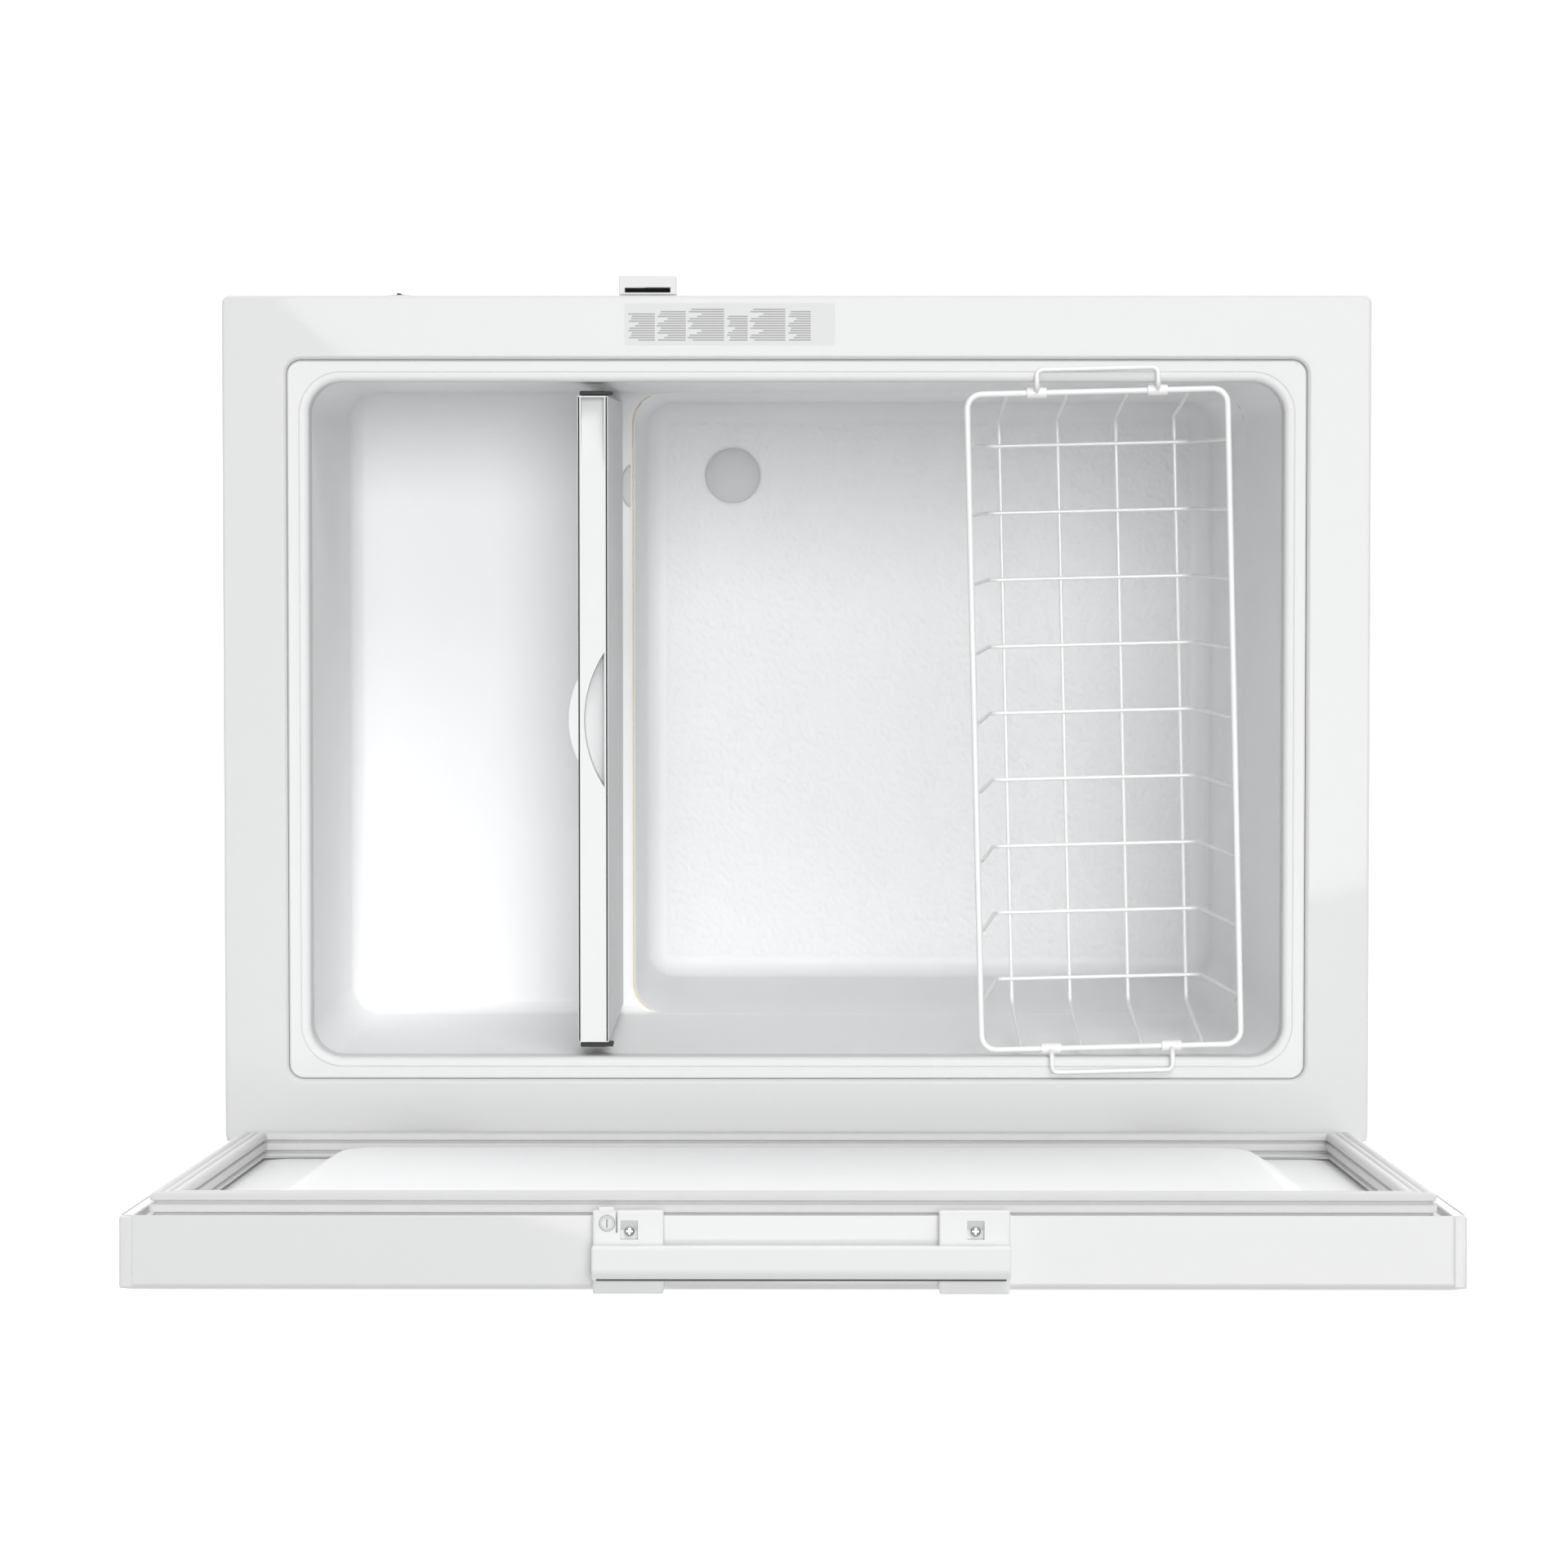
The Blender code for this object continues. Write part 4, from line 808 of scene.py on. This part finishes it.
def lamp():
    """The pilot lamp's stepped lens."""
    centre = centre_of("pilot_lens")
    rings = [(0, 0.0026), (0.0022, 0.0024), (0.0030, 0.0020), (0.0034, 0.0022), (0.0044, 0.0016)]
    rings += [(0.0050, 0.0002), (0.0050, -0.004), (0, -0.004)]
    shape = lathe(rings, (centre.x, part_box("control_panel")[0].y, centre.z), "-Y", 36)
    piece("lamp", shape, "cabinet", "green_lens", "pilot_lens")


def drain():
    """The plug in the deep floor, the seat it presses on, and a near-black cylinder below that paints the shade
    down the drain's throat.
    """
    low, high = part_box("drain_plug")
    at = ((low.x + high.x) / 2, (low.y + high.y) / 2, WELL_Z)
    rim = (high.x - low.x) / 2
    profile = [(0, 0.0060), (0.0150, 0.0058), (0.0215, 0.0050), (rim - 0.0012, 0.0034)]
    profile += [(rim - 0.0003, 0.0026), (rim, 0.0018), (rim, 0.0010), (rim - 0.002, 0.0011), (0.0062, 0.0011)]
    profile += [(0.0060, 0.0003), (0.0060, -0.006), (0.0066, -0.007), (0.0060, -0.008), (0.0052, -0.0155)]
    profile += [(0, -0.016)]
    piece("plug", lathe(profile, at, "Z", 72), "drain_plug", "grey_plastic", "drain_plug")
    profile = [(0.0245, 0.0012), (0.0242, 0.0004), (0.0080, 0.0004), (0.0078, -0.010), (0.0070, -0.010)]
    profile += [(0.0070, -0.0002), (0.0245, -0.0002)]
    piece("drain_seat", lathe(profile, at, "Z", 48), "cabinet", "embossed_liner")
    # Painted shade: a near-black cylinder under the plug stands for the shade down the drain's throat.
    throat = drill(0.0068, 0.0002, -0.004, at, "Z")
    piece("drain_throat_shade", throat, "cabinet", "dark_plastic", look=PAINTED_SHADE_AND_TICKS)


def spout():
    """The drain's threaded spout on the front, and its ribbed cap."""
    centre = centre_of("drain_cap")
    at = (centre.x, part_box("drain_spout")[1].y, centre.z)
    rings = [(0.0085, 0.0120), (0.0100, 0.0120), (0.0105, 0.0114)]
    for i in range(3):
        z = 0.0108 - i * 0.002
        rings += [(0.0105, z), (0.0101, z - 0.0006), (0.0105, z - 0.0012)]
    rings += [(0.0105, 0.0042), (0.0150, 0.0040), (0.0172, 0.0034), (0.0180, 0.0024), (0.0180, GAP)]
    rings += [(0.0085, GAP)]
    piece("spout", lathe(rings, at, "-Y", 48), "cabinet", "white_plastic", "drain_spout")
    rings = [(0, 0.0165), (0.0118, 0.0165), (0.0134, 0.0158), (0.0140, 0.0146), (0.0140, 0.0052)]
    rings += [(0.0138, 0.0045), (0.0108, 0.0045), (0.0108, 0.0125), (0, 0.0125)]
    cap = lathe(rings, at, "-Y", 96, ribs=32, rib=0.0125)
    piece("cap", cap, "drain_cap", "white_plastic", "drain_cap")


def keeper():
    """The lock's keeper: a block with a slot open upwards, a low lip before it and a near-black plate on the
    slot's floor that paints the slot's shade.
    """
    low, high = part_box("lock_keeper")
    wall, rear, front, deep = 0.005, high.y - 0.0018, high.y - 0.0058, high.z - 0.026
    slot = box((low.x + wall, front, deep), (high.x - wall, rear, high.z + 0.01), 0.0006)
    body = carved(box(low, high, 0.0012, 4), slot)
    lip = box(
        (low.x + 0.004, high.y - 0.0072, high.z - 0.010), (low.x + 0.0255, front, high.z + 0.0016), 0.0005
    )
    piece("keeper", merged(body, lip), "cabinet", "grey_plastic", "lock_keeper")
    # Painted shade: a near-black plate on the slot's floor stands for the shade in the slot.
    spare = 0.0002
    floor = box(
        (low.x + wall + spare, front + spare, deep + spare),
        (high.x - wall - spare, rear - spare, deep + 0.002),
        0.0003,
    )
    piece("keeper_shadow", floor, "cabinet", "dark_plastic", look=PAINTED_SHADE_AND_TICKS)


# Lid, drawn closed and opened by its joint

def closed_box(name):
    back = OPEN.inverted()
    points = [back @ vertex.co for vertex in frame["nodes"][name].data.vertices]
    low = Vector([min(p[i] for p in points) for i in range(3)])
    high = Vector([max(p[i] for p in points) for i in range(3)])
    return low, high


def lid():
    """The lid's painted shell, open below, with a cap over each end."""
    low, high = closed_box("lid_skin")

    def ring(inset, z, radius):
        return at_height(rect(low.x + inset, low.y + inset, high.x - inset, high.y - inset, radius), z)

    edge, corner = 0.005, 0.010
    rows = [ring(SHEET, low.z + 0.0004, 0.0088), ring(0.0003, low.z, 0.0097), ring(0, low.z + 0.0005, corner)]
    over = bend((edge, high.z - edge), edge, 180, 90, 6)
    rows += [ring(inset, z, corner - inset * 0.8) for inset, z in over]
    shell = loft(rows, caps=False)
    top = [e for e in shell.edges if e.is_boundary and e.verts[0].co.z > high.z - 0.001]
    bmesh.ops.holes_fill(shell, edges=top, sides=0)
    look = LOOKS["lid_enamel"]
    skin = piece("lid_shell", tidy(shell), "lid", "white_enamel", "lid_skin", look=look, opened=True)
    walled(skin, SHEET)
    wide, proud = 0.0088, 0.0004
    caps = []
    for x0, x1 in ((low.x, low.x + wide), (high.x - wide, high.x)):
        caps.append(box(
            (x0 - proud, low.y - proud, low.z + 0.0006), (x1 + proud, high.y + proud, high.z - 0.0012), 0.0016
        ))
    piece("lid_end_caps", merged(*caps), "lid", "white_enamel", look=look, opened=True)


def lid_inside():
    """The lid's inner liner, from its rim across the gasket's track and down to the plateau."""
    deep = closed_box("lid_liner")[0].z
    # (inset from the deck's outline, height)
    path = [(0.0006, SEAT + 0.004), (0.0006, SEAT + 0.0006), (0.0012, SEAT), (0.012, SEAT)]
    path += [(0.0135, SEAT + 0.0012), (0.0165, SEAT + 0.0014), (0.041, SEAT + 0.0014)]
    path += [(0.0435, SEAT + 0.0004), (0.046, SEAT), (0.080, SEAT), (0.087, SEAT - 0.0006)]
    path += [(0.092, SEAT - 0.0030), (0.104, SEAT - 0.0106), (0.108, SEAT - 0.0128), (0.114, deep)]
    path += [(0.150, deep), (0.153, deep + 0.0007), (0.158, deep + 0.0010)]
    rows = []
    for inset, z in path:
        if inset < 0.05:
            radius = 0.0095 + inset * 0.10
        elif inset < 0.12:
            radius = 0.044 - (inset - 0.08) * 0.5
        else:
            radius = 0.022
        rows.append(at_height(plan(inset, radius, 10), z))
    shell = loft(rows, caps=False)
    last = [e for e in shell.edges if e.is_boundary and e.verts[0].co.z < SEAT]
    bmesh.ops.holes_fill(shell, edges=last, sides=0)
    if any(face.normal.z > 0.5 for face in shell.faces):
        bmesh.ops.reverse_faces(shell, faces=shell.faces[:])
    look = LOOKS["lid_plastic"]
    liner = piece("lid_inside", shell, "lid", "white_plastic", "lid_liner", look=look, opened=True)
    walled(liner, 0.0011)


def door_seal():
    """The gasket: a foot, neck, body, neck and bulb, carried round the lid. It squashes on the deck."""
    low, high = closed_box("lid_gasket")
    inset = low.x - X0
    root, tip = high.z, TOP - 0.0085
    # (distance in from the outer edge, height)
    section = [(0.0000, root), (0.0000, root - 0.0020), (0.0030, root - 0.0032), (0.0030, root - 0.0042)]
    section += [(0.0004, root - 0.0052), (0.0000, root - 0.0095), (0.0010, root - 0.0106)]
    section += [(0.0036, root - 0.0114), (0.0036, root - 0.0124), (0.0008, root - 0.0134)]
    section += [(0.0004, tip + 0.0030), (0.0016, tip + 0.0008), (0.0040, tip), (0.0070, tip + 0.0004)]
    section += [(0.0084, tip + 0.0022), (0.0098, tip + 0.0004), (0.0128, tip + 0.0004)]
    section += [(0.0142, tip + 0.0022), (0.0156, tip + 0.0004), (0.0190, tip), (0.0212, tip + 0.0010)]
    section += [(0.0222, tip + 0.0030), (0.0218, root - 0.0134), (0.0188, root - 0.0124)]
    section += [(0.0188, root - 0.0114), (0.0214, root - 0.0106), (0.0222, root - 0.0095)]
    section += [(0.0218, root - 0.0052), (0.0190, root - 0.0042), (0.0190, root - 0.0032)]
    section += [(0.0220, root - 0.0020), (0.0220, root)]
    seal = loft([at_height(plan(inset + across, 0.0032, 2), z) for across, z in section], ring=True)
    soft = piece("door_seal", seal, "lid", "gasket_vinyl", "lid_gasket", opened=True, smooth=50)
    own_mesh(soft)


def liner_screws():
    """Two dark screws that hang head down from the lid's liner, near its rear corners."""
    flip = Matrix.Translation((0, 0, 2 * SEAT)) @ Matrix.Diagonal((1, 1, -1, 1))
    heads = []
    for x in (-0.4325, 0.4325):
        head = moved(screw((x, Y1 - 0.068, SEAT), "Z", 0.0040), flip)
        bmesh.ops.reverse_faces(head, faces=head.faces[:])
        heads.append(head)
    piece("liner_screws", merged(*heads), "lid", "dark_plastic", opened=True)


def lock_rooms(face, low_z):
    """What is cut from the right handle foot: the lock's hole and well, the cam's room and a slit."""
    x, z = LOCK_X, closed_box("lid_skin")[0].z + 0.0045
    cam_x = closed_box("lock_barrel")[0].x
    well_floor, far = 0.0116, 0.05
    return [
        drill(0.0046, far, -far, (x, face, z)),
        drill(0.0058, far, well_floor, (x, face, z)),
        box((cam_x - 0.001, face - 0.0036, low_z - 0.02), (x + 0.0055, face + 0.01, z + 0.005)),
        box((x - 0.0073, face - 0.02, low_z - 0.01), (x - 0.0060, face - 0.0045, low_z + 0.0150)),
    ]


def handle_feet():
    """The handle's two ends: a foot on the lid's front, a post to the bar and a pocket with a screw in it, and a
    near-black plate that paints the pocket's shade.
    """
    bar_low, bar_high = closed_box("handle_bar")
    for side in ("left", "right"):
        low, high = closed_box(f"handle_end_{side}")
        at = sum(closed_box(f"handle_screw_{side}"), Vector()) / 2
        face = high.y
        foot = box((low.x, face - 0.012, low.z), (high.x, face, high.z), 0.0016, 4)
        shy = 0.002
        post_high = (high.x - shy, face - 0.004, bar_high.z - shy)
        post = box((low.x + shy, bar_high.y + GAP, bar_low.z + shy), post_high, 0.0008)
        # The pocket's floor slopes from the foot's front down to the bar's side.
        x0, x1 = at.x - 0.0068, at.x + 0.0052
        z0, z1 = at.z - 0.0070, at.z + 0.0062
        shallow, sunk, clear = face - 0.0116, face - 0.0052, face - 0.02
        levels = ((z0, shallow), (z1 - 0.006, sunk), (z1, sunk))
        tools = [loft([[(x0, y, z), (x1, y, z), (x1, clear, z), (x0, clear, z)] for z, y in levels])]
        if side == "right":
            tools += lock_rooms(face, low.z)
        shape = carved(carved(foot, post, operation="UNION"), *tools)
        if side == "right":
            tip = (LOCK_X + 0.0058, face - 0.0060, low.z + 0.0010)
            shape = merged(shape, box((LOCK_X - 0.0048, face - 0.0116, low.z - 0.0024), tip, 0.0008))
        piece(f"handle_foot_{side}", shape, "lid", "white_plastic", f"handle_end_{side}", opened=True)
        # Painted shade: a near-black plate on the pocket's floor stands for the shade in the pocket.
        edge = 0.0004
        pocket_shade_plate = box((x0 + edge, sunk + 0.0001, z1 - 0.0058), (x1 - edge, sunk + 0.0005, z1 - edge))
        piece(f"handle_pocket_shade_{side}", pocket_shade_plate, "lid", "dark_plastic", look=PAINTED_SHADE_AND_TICKS, opened=True)
        head = screw((at.x - 0.0008, face - 0.0066, at.z + 0.0008), "-Y", 0.0036)
        piece(f"handle_head_{side}", head, "lid", "plated_steel", f"handle_screw_{side}", opened=True)


def handle_bar():
    """The bar: a large round on its top front edge, rounded ends, and a near-black strip let into the round that
    paints the shade where the round turns away.
    """
    low, high = closed_box("handle_bar")
    front, rear = low.y, high.y
    small, large = 0.0025, 0.0085
    section = bend((front + small, low.z + small), small, 270, 180, 4)
    section += bend((front + large, high.z - large), large, 180, 90, 10)
    section += [(rear, high.z), (rear, low.z)]
    y0, z0 = (front + rear) / 2, (low.z + high.z) / 2
    ends = [(0, 0.90), (0.0006, 0.96), (0.0018, 1.0)]
    stations = [(low.x + along, scale) for along, scale in ends]
    stations += [(high.x - along, scale) for along, scale in reversed(ends)]
    rows = [[(x, y0 + (y - y0) * scale, z0 + (z - z0) * scale) for y, z in section] for x, scale in stations]
    piece("handle_grip", loft(rows), "lid", "white_plastic", "handle_bar", opened=True, smooth=30)

    # Painted shade: a near-black band set into the round stands for the shade where the round turns down and away.
    outer, inner = [bend((front + large, high.z - large), reach, 122, 92, 6) for reach in (0.0087, 0.0078)]
    strip = [[(x, y, z) for y, z in outer + inner[::-1]] for x in (low.x + 0.0030, high.x - 0.0030)]
    piece("handle_round_shade", loft(strip), "lid", "dark_plastic", look=PAINTED_SHADE_AND_TICKS, opened=True)


def lock():
    """The lock's barrel with its key slit, and the cam behind it."""
    low, high = closed_box("lock_barrel")
    at = OPEN.inverted() @ Vector(JOINTS["lock_turn"]["pos_m"])
    rings = [(0, 0.0002), (0.0040, 0.0002), (0.0043, 0.0007), (0.0050, 0.0007), (0.0055, 0.0002)]
    rings += [(0.0055, -0.0002), (0.0040, -0.0002), (0.0040, -0.0104), (0, -0.0104)]
    slit = box(at - Vector((0.0005, 0.02, 0.0030)), at + Vector((0.0005, 0.0030, 0.0030)), 0.0002, 1)
    half = 0.0035
    cam = box((low.x, high.y - 0.0020, at.z - half), (at.x + half, high.y, at.z + half), 0.0006)
    shape = merged(carved(lathe(rings, at, "-Y", 48), slit), cam)
    piece("lock", shape, "lock", "plated_steel", "lock_barrel", look=LOOKS["lock_metal"], opened=True)


def knuckle(x):
    """One barrel of a hinge, a third of its width long, with small chamfers and a bore for the pin."""
    half, chamfer, bore = HINGE_THIRD / 2 - GAP, 0.0004, 0.0034
    profile = [(bore, half), (KNUCKLE - chamfer, half), (KNUCKLE, half - chamfer)]
    profile += [(KNUCKLE, chamfer - half), (KNUCKLE - chamfer, -half), (bore, -half)]
    return lathe(profile, (x, HINGE.y, HINGE.z), "X", 32)


def hinges():
    """Two hinges: a leaf with outer knuckles on the cabinet, a pin, and a strap with the middle knuckle."""
    thick = 0.002
    for side in ("left", "right"):
        low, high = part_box(f"hinge_leaf_{side}")
        middle, back = (low.x + high.x) / 2, low.y
        parts = [box((low.x, back, low.z), (high.x, back + thick, TOP - 0.004), 0.0006, 2)]
        for shift in (-HINGE_THIRD, HINGE_THIRD):
            half = HINGE_THIRD / 2 - GAP
            x0, x1 = middle + shift - half, middle + shift + half
            ear_low, ear_high = (x0, back + 0.0014, TOP - 0.020), (x1, HINGE.y - 0.0035, HINGE.z - 0.0002)
            parts += [box(ear_low, ear_high, 0.0004, 2), knuckle(middle + shift)]
        piece(f"hinge_plate_{side}", merged(*parts), "cabinet", "plated_steel", f"hinge_leaf_{side}")
        heads = []
        for x in (-0.020, 0.0, 0.020):
            for z in (TOP - 0.085, TOP - 0.045):
                heads.append(screw((middle + x, back + thick, z), "Y", 0.0036))
        piece(f"hinge_screws_{side}", merged(*heads), "cabinet", "plated_steel")

        profile = [(0, 0.0330), (0.0036, 0.0328), (0.0045, 0.0322), (0.0045, 0.0308), (0.0030, 0.0305)]
        profile += [(0.0030, -0.0312), (0.0022, -0.0320), (0, -0.0320)]
        rod = lathe(profile, (middle, HINGE.y, HINGE.z), "X", 28)
        piece(f"hinge_rod_{side}", rod, "cabinet", "plated_steel", f"hinge_pin_{side}")

        low, high = closed_box(f"lid_leaf_{side}")
        strap = box((low.x, low.y, HINGE.z - 0.001), (high.x, low.y + 0.0025, high.z), 0.0006, 2)
        arm_low = (low.x, low.y + 0.001, HINGE.z + 0.0008)
        arm = box(arm_low, (high.x, HINGE.y - 0.001, HINGE.z + KNUCKLE - 0.0008), 0.0004, 2)
        swung = merged(strap, arm, knuckle(middle))
        piece(f"hinge_strap_{side}", swung, "lid", "plated_steel", f"lid_leaf_{side}", opened=True)


# Basket and divider

def basket():
    """The basket's rim, its long and cross wires, and a swinging handle at each end."""
    skew = Matrix.Rotation(math.radians(BASKET_SKEW), 4, "Z")
    low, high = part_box("basket")
    middle = (low + high) / 2
    rim_z = high.z - RIM_WIRE
    place = Matrix.Translation((middle.x, middle.y, rim_z)) @ skew
    half_x, half_y, drop, taper = 0.1055, 0.2665, -0.200, 0.019
    parts = [wire(at_height(rect(-half_x, -half_y, half_x, half_y, 0.012, 8), 0), RIM_WIRE, 14, closed=True)]

    def run(a, b, depth):
        down = [(a, 0.0), (a + 0.004, -0.012), (a + taper, depth)]
        return down + [(b - taper, depth), (b - 0.004, -0.012), (b, 0.0)]

    for i in range(4):
        x = (i - 1.5) / 4 * (2 * half_x - 0.014)
        path = eased([(x, y, z) for y, z in run(-half_y, half_y, drop)], 0.009)
        parts.append(wire(path, MESH_WIRE, 10))
    for i in range(9):
        y = (i - 4) * (2 * half_y - 0.082) / 8
        path = eased([(x, y, z) for x, z in run(-half_x, half_x, drop + 0.0022)], 0.009)
        parts.append(wire(path, MESH_WIRE, 10))
    piece("wire_basket", moved(merged(*parts), place), "basket", "coated_wire", "basket")

    half = 0.049
    rest = LEDGE_Z + 0.0056 - rim_z
    for end, sign in (("front", -1), ("rear", 1)):
        y = sign * half_y
        side = [(0.0012, 0.0035), (0.0048, rest), (0.0185, rest)]
        path = [(-half, y + sign * out, z) for out, z in side]
        path += [(half, y + sign * out, z) for out, z in reversed(side)]
        loop = wire(eased(path, 0.0055, 6), 0.0020, 12)
        profile = [(0.0028, 0.0080), (0.0042, 0.0080), (0.0046, 0.0074)]
        profile += [(0.0046, -0.0074), (0.0042, -0.0080), (0.0028, -0.0080)]
        sleeves = [lathe(profile, (x, y, 0), "X", 24) for x in (-half, half)]
        name = f"basket_handle_{end}"
        piece(f"basket_grip_{end}", moved(merged(loop, *sleeves), place), name, "coated_wire", name)


def divider():
    """A board with a bowed finger pull in its top edge, two near-black lines along it that paint the shade in its
    grooves, and a clip at each end.
    """
    low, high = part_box("divider")
    x0, x1, top = low.x, 0.178, high.z
    shell = box((x0, low.y, low.z), (x1, high.y, top), 0.0008, 3)
    y0 = low.y + 0.0012
    slope = ((y0, top - 0.016), (low.y + 0.030, top - 0.013), (low.y + 0.062, top + 0.001), (y0, top + 0.001))
    ramp = loft([[(x, y, z) for y, z in slope] for x in (x0 + 0.0030, x1 - 0.0030)])
    channels = [
        box((x, low.y + 0.0008, top - 0.0040), (x + 0.0012, high.y - 0.0008, top + 0.002))
        for x in (x0 + 0.0007, x1 - 0.0019)
    ]
    base = x0 + 0.0026

    def bow(half, rise, back):
        radius = (half**2 + rise**2) / (2 * rise)
        spread = math.degrees(math.asin(half / radius))
        return bend((back + rise - radius, MID_Y), radius, -spread, spread, 32)

    bump = plate([bow(0.0615, 0.0305, base)], top - 0.024, top, 0.0014)
    hole = plate([bow(0.0550, 0.0165, base + 0.0006)], top - 0.020, top + 0.02, 0.0004)
    body = carved(carved(shell, bump, operation="UNION"), hole, ramp, *channels)
    piece("divider_panel", body, "divider", "white_plastic", "divider")
    # Painted shade: near-black strips in the two grooves along the top stand for the grooves' shade.
    lines = [
        box((x, y0, top - 0.0046), (x + 0.0010, high.y - 0.0012, top - 0.0008), 0.0002, 1)
        for x in (x0 + 0.0008, x1 - 0.0018)
    ]
    piece("divider_groove_shade", merged(*lines), "divider", "black_rubber", look=PAINTED_SHADE_AND_TICKS)
    shy = 0.0004
    for end in ("front", "rear"):
        a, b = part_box(f"divider_clip_{end}")
        tongue = box((x0 - 0.0035, a.y + shy, b.z - 0.020), (x0 + 0.014, b.y - shy, b.z + 0.0010), 0.0006, 2)
        clip = merged(box(a, b, 0.0010, 3), tongue)
        piece(f"divider_seal_{end}", clip, "divider", "black_rubber", f"divider_clip_{end}")


# CAD solids that stay in view

def finish_frame():
    """Gives every CAD node its slot's look. The nodes that no piece stands for stay in view."""
    slots_of = {row["node"]: row["material_slot"] for row in frame["record"]["subparts"]}
    for name, obj in frame["nodes"].items():
        obj.data.materials.clear()
        obj.data.materials.append(LOOKS[slots_of[name]])
        if name in ROUND_NODES:
            obj.data.shade_smooth()
            obj.data.set_sharp_from_angle(angle=math.radians(35))


# Room, light and camera

def floor():
    """A pale floor that glows enough to fade into the white room."""
    bpy.ops.mesh.primitive_plane_add(size=40, location=(0, 0, START[0].z))
    ground = bpy.context.object
    ground.name = "floor"
    look = bpy.data.materials.new("pale_floor")
    look.use_nodes = True
    shader = look.node_tree.nodes["Principled BSDF"]
    shader.inputs["Base Color"].default_value = (0.93, 0.93, 0.93, 1)
    shader.inputs["Roughness"].default_value = 0.8
    shader.inputs["Specular IOR Level"].default_value = 0.2
    shader.inputs["Emission Color"].default_value = (1, 1, 1, 1)
    shader.inputs["Emission Strength"].default_value = 0.80
    ground.data.materials.append(look)


def lights():
    """An even white room and two broad suns, one from above and one from the front."""
    world = bpy.context.scene.world or bpy.data.worlds.new("World")
    bpy.context.scene.world = world
    world.use_nodes = True
    shade = world.node_tree.nodes["Background"]
    shade.inputs["Color"].default_value = (1, 1, 1, 1)
    shade.inputs["Strength"].default_value = 0.44
    # (name, energy, angular size, lean from straight down, roll to the side), the last three in degrees
    for name, energy, spread, lean, roll in (("key", 1.30, 20, 6, -4), ("front", 0.90, 30, 42, -14)):
        sun = bpy.data.lights.new(name, "SUN")
        sun.energy = energy
        sun.angle = math.radians(spread)
        lamp_object = bpy.data.objects.new(name, sun)
        bpy.context.scene.collection.objects.link(lamp_object)
        lamp_object.rotation_euler = (math.radians(lean), math.radians(roll), 0)


def camera():
    """Looks down into the open tank, with the cabinet's front at the top of the picture."""
    lens = bpy.data.cameras.new("camera")
    lens.lens = 133.2
    lens.sensor_width = 36
    lens.clip_end = 100
    eye = bpy.data.objects.new("camera", lens)
    bpy.context.scene.collection.objects.link(eye)
    place = Vector((-0.017, -0.2012, 5.55))
    target = Vector((0.0101, 0.0369, TOP))
    back = (place - target).normalized()
    right = Vector((0, -1, 0)).cross(back).normalized()
    up = back.cross(right)
    eye.matrix_world = Matrix.Translation(place) @ Matrix((right, up, back)).transposed().to_4x4()
    bpy.context.scene.camera = eye
    view = bpy.context.scene.view_settings
    view.view_transform = "Standard"
    view.look = "None"
    view.exposure = 0.0
    view.gamma = 1.0


wrap()
deck()
mouth_frame()
tank()
step_ear()
tank_floor()
sticker()
rear_sheet()
bay_panel()
rear_screws()
gland()
side_grille()
base_plate()
feet()
controls()
dial()
lamp()
drain()
spout()
keeper()
lid()
lid_inside()
door_seal()
liner_screws()
handle_feet()
handle_bar()
lock()
hinges()
basket()
divider()
finish_frame()
floor()
lights()
camera()
